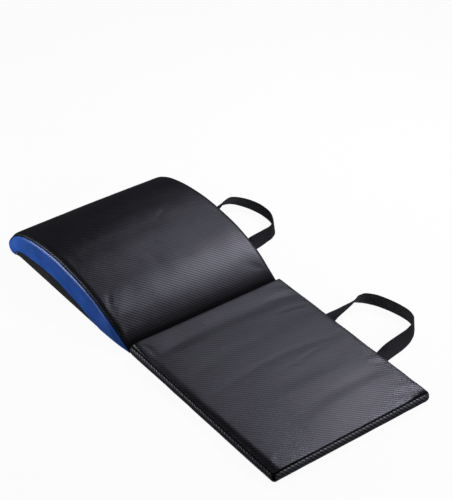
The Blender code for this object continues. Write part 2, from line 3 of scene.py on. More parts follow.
import bmesh
import bpy
import numpy as np
from mathutils import Matrix, Vector


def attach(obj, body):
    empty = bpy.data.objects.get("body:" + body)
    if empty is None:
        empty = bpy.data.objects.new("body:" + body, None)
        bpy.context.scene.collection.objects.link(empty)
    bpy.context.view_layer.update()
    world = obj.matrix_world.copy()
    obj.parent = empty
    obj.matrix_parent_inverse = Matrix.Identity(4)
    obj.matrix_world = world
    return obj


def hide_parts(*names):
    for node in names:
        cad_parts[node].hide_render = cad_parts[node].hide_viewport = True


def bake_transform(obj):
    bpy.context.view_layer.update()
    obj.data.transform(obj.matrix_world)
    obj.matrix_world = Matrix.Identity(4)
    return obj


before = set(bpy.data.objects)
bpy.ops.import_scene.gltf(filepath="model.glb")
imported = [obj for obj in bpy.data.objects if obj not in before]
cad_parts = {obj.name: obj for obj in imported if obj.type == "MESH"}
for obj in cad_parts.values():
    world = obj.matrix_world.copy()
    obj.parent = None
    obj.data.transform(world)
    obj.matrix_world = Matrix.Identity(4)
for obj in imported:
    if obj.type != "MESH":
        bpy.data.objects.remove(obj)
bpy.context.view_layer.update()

# Sizes of the CAD part, in metres
HALF_WIDTH = 0.155
WEDGE_LENGTH = 0.385
WEDGE_HEIGHT = 0.073
WEDGE_FLARE = 0.005
WEDGE_CROWN = 0.002
WEDGE_ROLL = 0.0105
WEDGE_PUFF = 0.004
PAD_LENGTH = 0.377
PAD_THICKNESS = 0.020
PAD_ROLL = 0.003
PAD_PUFF = 0.003
PAD_CROWN = 0.002
PAD_CORNER = 0.0055
BASE_ROLL = 0.0024
CLOTH = 0.0012
GAP = 0.0003
FOLD_Y = -0.1925
PAD_Y = FOLD_Y - GAP - PAD_LENGTH / 2
WEBBING_WIDTH = 0.025
WEBBING_THICKNESS = 0.0018
TUCK = 0.0002
FOLD_MARGIN = 0.0062
HANDLE_SPAN = 0.131
REST_HEIGHT = 0.0024
SEWN_END = 0.0235
WEDGE_ROOT = (0.16325, -0.0055, REST_HEIGHT)
WEDGE_LOOP_REACH = 0.102
PAD_ROOT = (0.1607, -0.382, REST_HEIGHT)
PAD_LOOP_REACH = 0.106

# Side outline of the wedge from the tail to the hem, as shares of its length and height
WEDGE_PROFILE_SHARES = (
    (0.0088, 0.0493), (0.026, 0.134), (0.078, 0.338), (0.152, 0.553), (0.236, 0.732),
    (0.326, 0.867), (0.430, 0.951), (0.556, 1.000), (0.684, 0.966), (0.788, 0.881),
    (0.875, 0.749), (0.945, 0.547), (0.986, 0.315), (1.000, 0.160), (0.990, 0.055),
    (0.966, 0.010), (0.940, 0.0))
HEM_SHARE = WEDGE_PROFILE_SHARES[-1][0]
NOSE_START_SHARE = 0.788
NOSE_FOOT_SHARE = 0.920
# Arch of its lower panel: share of the wedge's length, and height
ARCH = (
    (0.225, 0.000), (0.285, 0.007), (0.330, 0.0122), (0.400, 0.0191), (0.480, 0.0252),
    (0.560, 0.0287), (0.620, 0.0290), (0.700, 0.0276), (0.780, 0.0244), (0.845, 0.0203),
    (0.888, 0.0154), (0.908, 0.0093), (0.917, 0.000))
# Where the top covers end, as shares of the quarter turn round their edge
WEDGE_SEAM_SHARE = 0.63
PAD_SEAM_SHARE = 0.45

# Seams, stitches and cloth
SEAM_DEPTH = 0.0018
PANEL_SEAM_DEPTH = 0.0011
BASE_SEAM_DEPTH = 0.0009
END_SEAM_DEPTH = 0.0012
PUCKER_REACH = 0.006
PUCKER_PITCH = 0.0075
GATHER_PITCH = 0.0042
BASE_HEM = 0.005
BASE_STEP = 0.004
STITCH_PITCH = 0.0043
STITCH_LENGTH = 0.0030
STITCH_INSET = 0.0034
THREAD = 0.00026
TOW = 0.00174
WEAVE_PITCH = 0.0011
GRIP_PITCH = 0.0018
RIB_PITCH = 0.0021
PICK_PITCH = 0.0026
TWIST_PITCH = 0.0009
SECTION_SPACING = 0.0026
TOP_COLUMNS = 91
PAD_COLUMNS = 96
PAD_ROWS = 118
WEBBING_STEP = 0.0015

# Heights of each cover's puckers and slow waves
PUCKERS = {"wedge_top": 0.00022, "band": 0.00018, "pad_top": 0.00020, "boxing": 0.00025}
WAVES = {"wedge_top": 0.00030, "band": 0.0005, "pad_top": 0.00035, "boxing": 0.00030,
         "base": 0.00015}

# The wedge's tail edge, the swelling under the blue panel's seam, and its end at the hem
TAIL_REACH = 0.0014
TAIL_FOOT = 0.0013
BULGE_HEIGHT = 0.0011
BULGE_DROP = 0.0062
BULGE_REACH = 0.0036
BAND_MARGIN = 0.010

# The pad's rows of points inside its edge roll, and its hump beside the fold
RIM_STEPS = (0.001, 0.0022, 0.004, 0.0062)
HUMP_HEIGHT = 0.0033
HUMP_PLACE = 0.004
HUMP_REACH = 0.030

# Cloth simulation of the top covers
SETTLE_CAP = 0.0012
SETTLE_FRAMES = 24
SETTLE_COLUMNS = 78
WEDGE_SETTLE_ROWS = 110
PAD_SETTLE_ROWS = 95
SETTLE_MARGIN = 0.002
SPARE_REACH = 0.035
SMOOTHINGS = 2
SETTLE_CLOTH = {
    "quality": 6, "mass": 0.2, "tension_stiffness": 20, "compression_stiffness": 20,
    "shear_stiffness": 8, "bending_stiffness": 0.1, "vertex_group_mass": "hold",
    "pin_stiffness": 1.0, "vertex_group_shrink": "spare", "shrink_min": 0.0,
    "shrink_max": -0.02, "use_pressure": True, "uniform_pressure_force": 0.3}

# Handle loops from above, from the end nearer +Y: shares of reach, half span and lean
PAD_LOOP_SHARES = (
    (0.00, 1.00, 1.00), (0.12, 1.02, 0.85), (0.29, 1.03, 0.69), (0.46, 1.06, 0.56),
    (0.57, 1.08, 0.44), (0.68, 1.035, 0.23), (0.79, 0.89, 0.08), (0.88, 0.65, 0.04),
    (0.945, 0.34, 0.04), (0.99, 0.00, 0.04), (1.00, -0.28, 0.04), (0.965, -0.51, 0.05),
    (0.85, -0.71, 0.09), (0.72, -0.83, 0.17), (0.57, -0.90, 0.32), (0.41, -0.935, 0.48),
    (0.25, -0.95, 0.67), (0.11, -0.97, 0.88), (0.00, -1.00, 1.00))
WEDGE_LOOP_SHARES = (
    (0.00, 1.00, 1.00), (0.165, 0.97, 0.92), (0.375, 0.96, 0.66), (0.58, 1.04, 0.42),
    (0.74, 1.00, 0.30), (0.86, 0.77, 0.20), (0.955, 0.42, 0.12), (1.00, 0.03, 0.08),
    (0.98, -0.37, 0.07), (0.865, -0.75, 0.08), (0.73, -0.92, 0.13), (0.53, -0.99, 0.24),
    (0.32, -1.02, 0.45), (0.145, -1.00, 0.84), (0.00, -1.00, 1.00))

MM = 0.001
# Soft folds of the pad's top, from its middle, in millimetres: the start's x and y, the
# end's, the half width and the height
PAD_FOLDS = np.array((
    (-148, 140, 165, 124, 13, -1.1), (-150, 60, 90, 62, 12, -0.4),
    (-125, 6, 150, 6, 8.5, -0.6), (-130, -60, 120, -50, 13, -0.4),
    (-60, -118, 165, -105, 12, -0.5), (31, -23, 44, -13, 3.5, -0.5),
    (36, -12, 108, -3, 4.5, -0.3), (20, -17, 36, -24, 3.5, 0.4),
    (-30, 176, -27, 150, 3.5, 0.3), (-30, 160, -4, 166, 3.5, 0.3),
    (90, 147, 158, 129, 6, -0.7), (108, 160, 156, 147, 5, 0.4), (116, 176, 152, 160, 5, -0.4),
    (98, 103, 155, 89, 5.5, 0.3), (84, 112, 150, 99, 6, -0.5), (155, -176, 100, -160, 7, -0.5),
    (154, -160, 110, -142, 6, 0.4), (155, -78, 128, -68, 5, 0.4),
    (155, -90, 126, -84, 5, -0.3), (-141, 176, -138, 132, 5, -0.7),
    (-150, 120, -118, 108, 4.5, -0.5), (-152, -176, -124, -150, 4.5, 0.5),
    (-152, -120, -126, -128, 4.5, -0.4))) * MM
# The same for the wedge's top, from the middle of its tail
WEDGE_FOLDS = np.array((
    (-150, 30, -112, 58, 6, -0.6), (-150, 52, -120, 82, 5.5, 0.5),
    (-148, 76, -128, 112, 4.5, -0.7), (150, 34, 118, 60, 6, -0.4),
    (150, 62, 126, 92, 5.5, 0.3), (60, 232, 66, 266, 5, 0.5), (52, 226, 78, 240, 4.5, -0.5),
    (-150, 205, 150, 196, 18, -0.7), (-140, 262, 140, 268, 16, -0.5),
    (-90, 150, 140, 146, 12, -0.4), (-130, 104, 80, 108, 12, 0.3))) * MM

# Shares of the way across a panel, close together along its seams
SHOULDER_SHARES = (0, 0.005, 0.02, 0.05, 0.09, 0.14, 0.22, 0.34, 0.5, 0.72, 1)
ROLL_SHARES = (0, 0.015, 0.05, 0.11, 0.2, 0.32, 0.5, 0.75, 1)
BASE_EDGE_SHARES = np.array((0.992, 0.996, 0.9985, 1))
WALL_SHARES = (0, 0.0012, 0.004, 0.009, 0.016, 0.025, 0.04, 0.06, 0.09, 0.13, 0.18, 0.24,
               0.31, 0.38, 0.45, 0.52, 0.59, 0.66, 0.73, 0.79, 0.84, 0.88, 0.91, 0.94,
               0.96, 0.975, 0.984, 0.991, 0.996, 0.9988, 1)
# The hinge strip in section, from its end to its bend: way from the fold, and height
HINGE_SECTION = ((-0.016, 0.0021), (-0.0085, 0.0021), (-0.0058, 0.0012), (-0.004, 0.0007))
HINGE_BEND = 0.003
HINGE_COLUMNS = 120


# Curves and fields

def smooth_curve(points, steps):
    """Centripetal curve through the points"""
    points = np.array(points, float)
    padded = np.vstack([2 * points[0] - points[1], points, 2 * points[-1] - points[-2]])
    curve = [points[0]]
    for before, start, end, after in zip(padded, padded[1:], padded[2:], padded[3:]):
        first, middle, last = (math.sqrt(np.linalg.norm(b - a)) for a, b in
                               ((before, start), (start, end), (end, after)))
        slope_in = middle * ((start - before) / first - (end - before) / (first + middle)
                             + (end - start) / middle)
        slope_out = middle * ((end - start) / middle - (after - start) / (middle + last)
                              + (after - end) / last)
        for step in range(1, steps + 1):
            t = step / steps
            curve.append((2 * t**3 - 3 * t**2 + 1) * start + (t**3 - 2 * t**2 + t) * slope_in
                         + (3 * t**2 - 2 * t**3) * end + (t**3 - t**2) * slope_out)
    return np.array(curve)


def travel(points):
    """Distance along a line of points"""
    steps = np.linalg.norm(np.diff(points, axis=0), axis=-1)
    return np.concatenate([np.zeros((1,) + steps.shape[1:]), np.cumsum(steps, axis=0)])


def evenly(points, spacing):
    """The same line with evenly spaced points"""
    length = travel(points)
    places = np.linspace(0, length[-1], max(int(round(length[-1] / spacing)), 2) + 1)
    return np.stack([np.interp(places, length, column) for column in points.T], axis=1)


def unit(vectors):
    """The same directions at length 1"""
    return vectors / np.linalg.norm(vectors, axis=-1, keepdims=True)


def together(*columns):
    """Points from columns of any matching shapes"""
    return np.stack(np.broadcast_arrays(*columns), axis=-1)


def ramp(low, high, value):
    """Smooth step from 0 at low to 1 at high"""
    share = np.clip((value - low) / (high - low), 0, 1)
    return share * share * (3 - 2 * share)


def ripples(x, y, size, seed):
    """Smooth noise from -1 to 1 with bumps of about that size"""
    grid = np.random.default_rng(seed).uniform(-1, 1, (64, 64))
    x, y = np.broadcast_arrays(x / size, y / size)
    i, j = np.floor(x).astype(int), np.floor(y).astype(int)
    s, t = ramp(0, 1, x - i), ramp(0, 1, y - j)
    corner = [grid[(i + a) % 64, (j + b) % 64] for a, b in ((0, 0), (1, 0), (0, 1), (1, 1))]
    return ((corner[0] * (1 - s) + corner[1] * s) * (1 - t)
            + (corner[2] * (1 - s) + corner[3] * s) * t)


def turned_in(distance, radius):
    """How deep a panel lies where it turns in along its seam"""
    share = np.clip(1 - distance / np.maximum(radius, 1e-6), 0, 1)
    return radius * (1 - np.sqrt(1 - share**2))


def puckers(along, distance, reach, seed):
    """Small gathers that the seam's stitches pull into the cloth"""
    phase = along / PUCKER_PITCH * 2 * np.pi
    phase = phase + 2.2 * ripples(along, 0 * along, size=0.02, seed=seed)
    strength = 0.6 + 0.4 * ripples(along, 0 * along + 0.5, size=0.03, seed=seed + 1)
    fade = np.exp(-(distance / reach)**2) * ramp(0, 0.001, distance)
    return np.sin(phase) * strength * fade


def sample(grid, row, column):
    """Values between the points of a grid"""
    row = np.clip(row, 0, grid.shape[0] - 1.001)
    column = np.clip(column, 0, grid.shape[1] - 1.001)
    i, j = row.astype(int), column.astype(int)
    s, t = row - i, column - j
    return ((grid[i, j] * (1 - t) + grid[i, j + 1] * t) * (1 - s)
            + (grid[i + 1, j] * (1 - t) + grid[i + 1, j + 1] * t) * s)


def settle(points, outward, edge, seed):
    """How far a cover sewn down round its border rises over the foam that presses it out,
    from a cloth simulation on a coarse grid. It has a little to spare near the border, and
    edge is the distance to it."""
    x, y = points[..., 0], points[..., 1]
    start = ripples(x, y, size=0.018, seed=seed)
    start = start + 0.5 * ripples(x, y, size=0.009, seed=seed + 1)
    begin = points + outward * (0.0003 * start * ramp(0, 0.01, edge))[..., None]
    rows, columns = edge.shape
    index = np.arange(rows * columns).reshape(rows, columns)
    faces = np.stack([index[:-1, :-1], index[:-1, 1:], index[1:, 1:], index[1:, :-1]], axis=-1)
    mesh = bpy.data.meshes.new("settle")
    mesh.from_pydata(begin.reshape(-1, 3).tolist(), [], faces.reshape(-1, 4).tolist())
    obj = add_object("settle", mesh)
    weights = {"hold": np.where(edge < 1e-6, 1.0, 0.02),
               "spare": 0.1 + 0.9 * np.exp(-(edge / SPARE_REACH)**2)}
    for name, values in weights.items():
        group = obj.vertex_groups.new(name=name)
        for i, value in enumerate(values.ravel().tolist()):
            group.add([i], value, "REPLACE")
    modifier = obj.modifiers.new("settle", "CLOTH")
    for name, value in SETTLE_CLOTH.items():
        setattr(modifier.settings, name, value)
    modifier.settings.effector_weights.gravity = 0
    modifier.collision_settings.use_collision = False
    modifier.point_cache.frame_start = 1
    modifier.point_cache.frame_end = SETTLE_FRAMES
    for number in range(1, SETTLE_FRAMES + 1):
        bpy.context.scene.frame_set(number)
    settled = obj.evaluated_get(bpy.context.evaluated_depsgraph_get()).data
    places = np.empty(rows * columns * 3, np.float32)
    settled.vertices.foreach_get("co", places)
    bpy.context.scene.frame_set(1)
    bpy.data.objects.remove(obj, do_unlink=True)
    bpy.data.meshes.remove(mesh)
    rise = ((places.reshape(points.shape) - points) * outward).sum(axis=-1)
    # The leather is too thick for creases as narrow as the grid's cells
    for _ in range(SMOOTHINGS):
        rise[1:-1] = (rise[:-2] + 2 * rise[1:-1] + rise[2:]) / 4
        rise[:, 1:-1] = (rise[:, :-2] + 2 * rise[:, 1:-1] + rise[:, 2:]) / 4
    return np.clip(rise, -SETTLE_CAP, SETTLE_CAP)


def folds(x, y, lines):
    """Height of soft folds. Each runs from a start to an end, with a half width and a
    height, and bends a little on its way."""
    height = 0
    for start_x, start_y, end_x, end_y, width, top in lines:
        length = math.hypot(end_x - start_x, end_y - start_y)
        way_x, way_y = (end_x - start_x) / length, (end_y - start_y) / length
        along = ((x - start_x) * way_x + (y - start_y) * way_y) / length
        aside = (y - start_y) * way_x - (x - start_x) * way_y
        aside = aside - 0.05 * length * np.sin(np.pi * along)
        fade = ramp(-0.15, 0.2, along) * ramp(1.15, 0.6, along)
        height = height + top * fade * np.exp(-(aside / width)**2)
    return height


def wedge_half(y):
    """Half width of the wedge at a distance from the fold"""
    share = np.minimum(y / (0.2 * WEDGE_LENGTH), 1)
    return HALF_WIDTH + WEDGE_FLARE * share * (2 - share)


class Ribs:
    """Wedge sections, as arrays of ribs by places across. y is the distance from the fold."""

    def __init__(self, spacing):
        corners = np.array(WEDGE_PROFILE_SHARES) * (WEDGE_LENGTH, WEDGE_HEIGHT)
        line = evenly(smooth_curve(corners, 24), spacing)
        line[:, 1] = np.maximum(line[:, 1], 0)
        self.y, self.z = line[:, :1], line[:, 1:]
        self.travel = travel(line)[:, None]
        along = unit(np.gradient(line, axis=0))
        self.inward = (along[:, 1:], -along[:, :1])
        start = int(np.argmax(line[:, 0] > NOSE_START_SHARE * WEDGE_LENGTH))
        spread = np.clip((self.travel - self.travel[start])
                         / (self.travel[-1] - self.travel[start]), 0, 1)
        fanned = self.y[start] + spread * (NOSE_FOOT_SHARE * WEDGE_LENGTH - self.y[start])
        self.foot = np.where(np.arange(len(line))[:, None] > start, fanned, self.y)
        self.half = wedge_half(self.foot)
        limit = np.maximum(0.4 * self.z, CLOTH + GAP)
        self.roll = np.minimum(WEDGE_ROLL, limit)
        self.base_roll = np.minimum(BASE_ROLL, limit)
        self.rise = self.z / WEDGE_HEIGHT
        reach = np.hypot(self.y - self.foot, self.z)
        self.swell = np.minimum(reach / (0.4 * WEDGE_HEIGHT), 1)

    def top(self, share, inset):
        """Points of the crowned top, at shares from -1 at its left to 1 at its right"""
        depth = inset - WEDGE_CROWN * self.rise * (1 - share**2)
        return together(share * (self.half - self.roll),
                        self.y + self.inward[0] * depth + FOLD_Y,
                        self.z + self.inward[1] * depth)

    def wall(self, turn, side, inset):
        """Points of the shoulder roll (0 to 1), side wall (1 to 2) and base roll (2 to 3)"""
        angle, drop, low_angle = (np.clip(turn - start, 0, 1) * full for start, full in
                                  ((0, np.pi / 2), (1, 1), (2, np.pi / 2)))
        roll = np.maximum(self.roll - inset, 0)
        low_roll = np.maximum(self.base_roll - inset, 0)
        depth = inset + roll * (1 - np.cos(angle))
        across = (self.half - inset - roll * (1 - np.sin(angle))
                  + WEDGE_PUFF * self.swell * 4 * drop * (1 - drop)
                  - low_roll * (1 - np.cos(low_angle)))
        y, z = self.y + self.inward[0] * depth, self.z + self.inward[1] * depth
        y = y + (self.foot - y) * drop
        z = z + (inset + low_roll - z) * drop - low_roll * np.sin(low_angle)
        return together(side * across, y + FOLD_Y, z)

    def arch_turn(self, side):
        """Where the wall meets the lower panel's arched edge; 3 where there is no panel"""
        arch = smooth_curve(np.array(ARCH) * (WEDGE_LENGTH, 1), 12)
        low, high = np.full(self.y.shape, 1.0), np.full(self.y.shape, 3.0)
        for _ in range(26):
            middle = (low + high) / 2
            point = self.wall(middle, side, 0)
            height = np.interp(point[..., 1] - FOLD_Y, arch[:, 0], arch[:, 1], 0, 0)
            above = point[..., 2] > np.maximum(height, 1e-5)
            low, high = np.where(above, middle, low), np.where(above, high, middle)
        return high


def pad_outline(spacing):
    """Anchors inside the outline and the way out from each, counter-clockwise from the
    middle of the corner at +X and -Y"""
    half_x, half_y = HALF_WIDTH - PAD_CORNER, PAD_LENGTH / 2 - PAD_CORNER
    corners = np.array(((1, -1), (1, 1), (-1, 1), (-1, -1))) * (half_x, half_y)
    sides = []
    for i, corner in enumerate(corners):
        after = corners[(i + 1) % 4]
        count = int(round(np.linalg.norm(after - corner) / spacing))
        share = np.concatenate([np.zeros(7), np.arange(1, count) / count, np.ones(7)])
        corner_turn = np.linspace(0, 0.5, 7)
        turn = np.concatenate([-corner_turn[::-1], np.zeros(count - 1), corner_turn])
        angle = (i + turn) * np.pi / 2
        anchor = corner + (after - corner) * share[:, None]
        sides.append((anchor, together(np.cos(angle), np.sin(angle))))
    return sides


def edge_roll(turn):
    """Way out from the pad's outline and height, down its edge roll from 0 to 1"""
    angle = turn * np.pi / 2
    return PAD_ROLL * (np.sin(angle) - 1), PAD_THICKNESS - PAD_ROLL * (1 - np.cos(angle))


# Meshes

def add_object(name, data):
    obj = bpy.data.objects.new(name, data)
    bpy.context.collection.objects.link(obj)
    return obj


def hide_from(obj, *kinds):
    """Hides the object from these kinds of rays"""
    for kind in kinds:
        setattr(obj, "visible_" + kind, False)


def add_piece(name, points, cloth, material, closed=False):
    """Mesh of a grid of points, or a capped tube when closed. cloth holds each point's place in
    the flat cloth, across and along, and its distance from a seam, near which the leathers paint
    shade."""
    rows, columns = points.shape[:2]
    index = np.arange(rows * columns).reshape(rows, columns)
    if closed:
        index = np.hstack([index, index[:, :1]])
    faces = np.stack([index[:-1, :-1], index[1:, :-1], index[1:, 1:], index[:-1, 1:]],
                     axis=-1).reshape(-1, 4)
    flat = points.reshape(-1, 3)
    middle = flat.mean(axis=0)
    corners = flat[faces]
    normal = np.cross(corners[:, 2] - corners[:, 0], corners[:, 3] - corners[:, 1])
    if (normal * (corners.mean(axis=1) - middle)).sum() < 0:
        faces = faces[:, ::-1]
    faces = faces.tolist()
    if closed:
        faces += [list(range(columns)), list(range((rows - 1) * columns, rows * columns))]
    return add_mesh(name, flat, faces, cloth, material)


def add_mesh(name, points, faces, cloth, material):
    """Smooth mesh with its places in the flat cloth, a material and a slot"""
    mesh = bpy.data.meshes.new(name)
    mesh.from_pydata(points.tolist(), [], faces)
    mesh.shade_smooth()
    attribute = mesh.attributes.new("cloth", "FLOAT_VECTOR", "POINT")
    attribute.data.foreach_set("vector", cloth.reshape(-1).astype(np.float32))
    mesh.materials.append(material)
    obj = add_object(name, mesh)
    return obj


def seam_line(points, distance, wanted, outward):
    """Line of places at the wanted distance from a seam, one on each row of a cover's grid,
    and the way out of the cover there"""
    place = np.array([np.interp(wanted, row, np.arange(len(row))) for row in distance])
    low = np.minimum(place.astype(int), points.shape[1] - 2)
    share = (place - low)[:, None]
    rows = np.arange(len(points))
    before, after = points[rows, low], points[rows, low + 1]
    line = before * (1 - share) + after * share
    normal = np.cross(np.gradient(line, axis=0), after - before)
    return line, unit(normal * np.sign((normal * outward).sum(axis=1))[:, None])


def stitches(name, line, normal, body):
    """Row of stitches on a cover, each a short thread whose ends dive into the cloth"""
    length = travel(line)
    count = int(length[-1] / STITCH_PITCH)
    share = np.linspace(-1, 1, 7)
    at = (np.arange(count)[:, None] + 0.5) * length[-1] / count + share * STITCH_LENGTH / 2
    middle, out = (np.stack([np.interp(at, length, column) for column in values.T], axis=-1)
                   for values in (line, normal))
    side = np.cross(unit(np.gradient(middle, axis=1)), out)
    middle = middle + out * (THREAD / 2 - THREAD * 1.4 * share[:, None]**4)
    turn = np.arange(6)[:, None] * np.pi / 3
    points = middle[:, :, None] + THREAD * (np.cos(turn) * side[:, :, None]
                                            + np.sin(turn) * out[:, :, None])
    index = np.arange(points.size // 3).reshape(points.shape[:3])
    around = np.roll(index, -1, axis=2)
    faces = np.stack([index[:, :-1], index[:, 1:], around[:, 1:], around[:, :-1]], axis=-1)
    faces = faces.reshape(-1, 4).tolist() + index[:, 0].tolist() + index[:, -1, ::-1].tolist()
    cloth = together(turn[:, 0] / 6, at[..., None], 0)
    piece = add_mesh(name, points.reshape(-1, 3), faces, cloth, thread)
    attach(piece, body)


# Materials

class Nodes:
    """Node tree of a material or a world, with short calls for its nodes"""

    def __init__(self, owner):
        owner.use_nodes = True
        self.tree = owner.node_tree

    def node(self, kind, inputs, **settings):
        node = self.tree.nodes.new("ShaderNode" + kind)
        for name, value in settings.items():
            setattr(node, name, value)
        for socket, value in inputs.items():
            if isinstance(value, bpy.types.NodeSocket):
                self.tree.links.new(value, node.inputs[socket])
            else:
                node.inputs[socket].default_value = value
        return node

    def math(self, operation, *values):
        return self.node("Math", dict(enumerate(values)), operation=operation).outputs[0]

    def colours(self, factor, dark, pale):
        mix = self.node("Mix", {"Factor": factor, 6: (*dark, 1), 7: (*pale, 1)},
                        data_type="RGBA")
        return mix.outputs[2]


class Shader(Nodes):
    """Node tree of one material"""

    def __init__(self, name, **constants):
        self.material = bpy.data.materials.new(name)
        super().__init__(self.material)
        self.surface = self.tree.nodes["Principled BSDF"]
        for socket, value in constants.items():
            self.surface.inputs[socket.replace("_", " ")].default_value = value

    def wave(self, value, pitch):
        return self.math("SINE", self.math("MULTIPLY", value, 2 * math.pi / pitch))

    def cloth(self):
        """Places in the flat cloth: across, along and distance from a seam, which sets the
        leathers' painted seam shade
        """
        place = self.node("Attribute", {}, attribute_name="cloth").outputs["Vector"]
        split = self.node("SeparateXYZ", {0: place})
        return place, split.outputs

    def noise(self, vector, scale, detail=3.0, roughness=0.55):
        return self.node("TexNoise", {"Vector": vector, "Scale": scale, "Detail": detail,
                                      "Roughness": roughness}).outputs["Fac"]

    def spread(self, value, low, high, to_low, to_high):
        return self.node("MapRange", {"Value": value, "From Min": low, "From Max": high,
                                      "To Min": to_low, "To Max": to_high}).outputs[0]

    def bump(self, height, distance, before=None):
        inputs = {"Height": height, "Distance": distance, "Strength": 1.0}
        if before is not None:
            inputs["Normal"] = before
        return self.node("Bump", inputs).outputs[0]

    def finish(self, **links):
        """Links outputs to the surface's inputs, and gives the material"""
        for socket, output in links.items():
            self.tree.links.new(output, self.surface.inputs[socket.replace("_", " ")])
        return self.material


def twill(shader, across, along, tow):
    """Height of a 2 by 2 twill of flat tows, and 1 where a lengthwise tow is on top"""
    u, v = (shader.math("DIVIDE", value, tow) for value in (across, along))
    column, row = (shader.math("FLOOR", value) for value in (u, v))
    u, v = shader.math("FRACT", u), shader.math("FRACT", v)
    step = shader.math("FLOORED_MODULO", shader.math("ADD", column, row), 4.0)
    on_top = shader.math("LESS_THAN", step, 2.0)
    heights = []
    for width, length, start in ((u, v, 0.0), (v, u, -1.0)):
        place = shader.math("MULTIPLY_ADD", shader.math("ADD", step, length), 0.5, start)
        bulge = []
        for share in (width, place):
            centred = shader.math("MULTIPLY_ADD", share, 2.0, -1.0)
            fall = shader.math("POWER", shader.math("ABSOLUTE", centred), 2.5)
            bulge.append(shader.math("SUBTRACT", 1.0, fall))
        heights.append(shader.math("MULTIPLY", *bulge))
    mix = shader.node("Mix", {"Factor": on_top, 2: heights[1], 3: heights[0]})
    return mix.outputs[0], on_top


def twill_leather(name, dark, pale, relief):
    """Leatherette embossed with a twill: the tows that lie on top are varnished and smooth, those
    that dive under them duller, and the seams' insides dull, with painted shade that darkens their
    colour"""
    shader = Shader(name, Specular_IOR_Level=0.06, Coat_Roughness=0.30, Coat_IOR=1.5)
    place, (across, along, seam) = shader.cloth()
    height, on_top = twill(shader, across, along, TOW)
    blotch = shader.noise(place, 28.0)
    grain = shader.noise(place, 1400.0, 2.0)
    high = shader.spread(height, 0.15, 0.6, 0.0, 1.0)
    tip = shader.math("MULTIPLY", high, on_top)
    # Painted shade: the colour darkens and the coat thins towards each seam, and wherever a
    # cover's third cloth value is small
    clear_of_seam_shade = shader.spread(seam, 0.0005, 0.0022, 0.0, 1.0)
    shade = shader.math("MULTIPLY_ADD", tip, relief, shader.math("MULTIPLY", blotch, 0.5))
    shade = shader.math("MULTIPLY", shade, clear_of_seam_shade)
    dull = shader.math("MULTIPLY_ADD", tip, -0.12, 0.52)
    dull = shader.math("MULTIPLY_ADD", clear_of_seam_shade, -0.20, shader.math("ADD", dull, 0.20))
    smooth = shader.math("ADD", dull, shader.spread(blotch, 0.3, 0.7, -0.03, 0.04))
    varnish = shader.math("MULTIPLY_ADD", tip, relief, 0.86 - relief)
    normal = shader.bump(height, 0.00012)
    normal = shader.bump(grain, 0.00004, normal)
    varnish = shader.math("MULTIPLY", varnish, clear_of_seam_shade)
    return shader.finish(Base_Color=shader.colours(shade, dark, pale), Roughness=smooth,
                         Normal=normal, Coat_Normal=normal, Coat_Weight=varnish)


def blue_leather():
    """Smooth leatherette with a fine grain, with painted shade darkening its seams"""
    shader = Shader("blue_leather", Specular_IOR_Level=0.35)
    place, (_, _, seam) = shader.cloth()
    blotch = shader.noise(place, 22.0)
    grain = shader.node("TexVoronoi", {"Vector": place, "Scale": 900.0}).outputs["Distance"]
    # Painted shade: the colour darkens within 1.2 mm of each seam
    shade = shader.math("MULTIPLY", blotch, shader.spread(seam, 0.0, 0.0012, 0.1, 1.0))
    smooth = shader.spread(blotch, 0.3, 0.7, 0.30, 0.38)
    colour = shader.colours(shade, (0.007, 0.036, 0.160), (0.030, 0.142, 0.580))
    return shader.finish(Base_Color=colour, Roughness=smooth, Normal=shader.bump(grain, 0.00003))


def plain_cloth(name, dark, pale, pitch):
    """Plain weave of round yarns"""
    shader = Shader(name, Specular_IOR_Level=0.1, Sheen_Weight=0.02)
    place, (across, along, _) = shader.cloth()
    weave = shader.math("MULTIPLY", shader.wave(across, pitch), shader.wave(along, pitch))
    blotch = shader.noise(place, 34.0, 5.0)
    shade = shader.math("MULTIPLY_ADD", weave, 0.25, blotch)
    normal = shader.bump(weave, pitch * 0.12)
    normal = shader.bump(shader.noise(place, 2500.0, 2.0), 0.00006, normal)
    rough = shader.spread(blotch, 0.3, 0.7, 0.82, 0.95)
    return shader.finish(Base_Color=shader.colours(shade, dark, pale), Roughness=rough,
                         Normal=normal)


def webbing_cloth():
    """Ribbed webbing: yarns along it that dive under at every pick, in a chevron"""
    shader = Shader("webbing", Specular_IOR_Level=0.2, Sheen_Weight=0.03)
    place, (across, along, _) = shader.cloth()
    column = shader.math("FLOOR", shader.math("DIVIDE", across, RIB_PITCH))
    shift = shader.math("MULTIPLY", shader.math("FLOORED_MODULO", column, 2.0), math.pi)
    pick = shader.math("MULTIPLY_ADD", along, 2 * math.pi / PICK_PITCH, shift)
    pick = shader.math("SINE", pick)
    ribs = shader.math("ABSOLUTE", shader.wave(across, 2 * RIB_PITCH))
    height = shader.math("MULTIPLY", ribs, shader.math("MULTIPLY_ADD", pick, 0.3, 0.7))
    blotch = shader.noise(place, 90.0, 4.0)
    shade = shader.math("MULTIPLY_ADD", height, 0.5, shader.math("MULTIPLY", blotch, 0.5))
    normal = shader.bump(height, 0.00045)
    normal = shader.bump(shader.noise(place, 3000.0, 2.0), 0.00005, normal)
    colour = shader.colours(shade, (0.002, 0.002, 0.002), (0.021, 0.0205, 0.023))
    rough = shader.spread(blotch, 0.3, 0.7, 0.70, 0.85)
    return shader.finish(Base_Color=colour, Roughness=rough, Normal=normal)


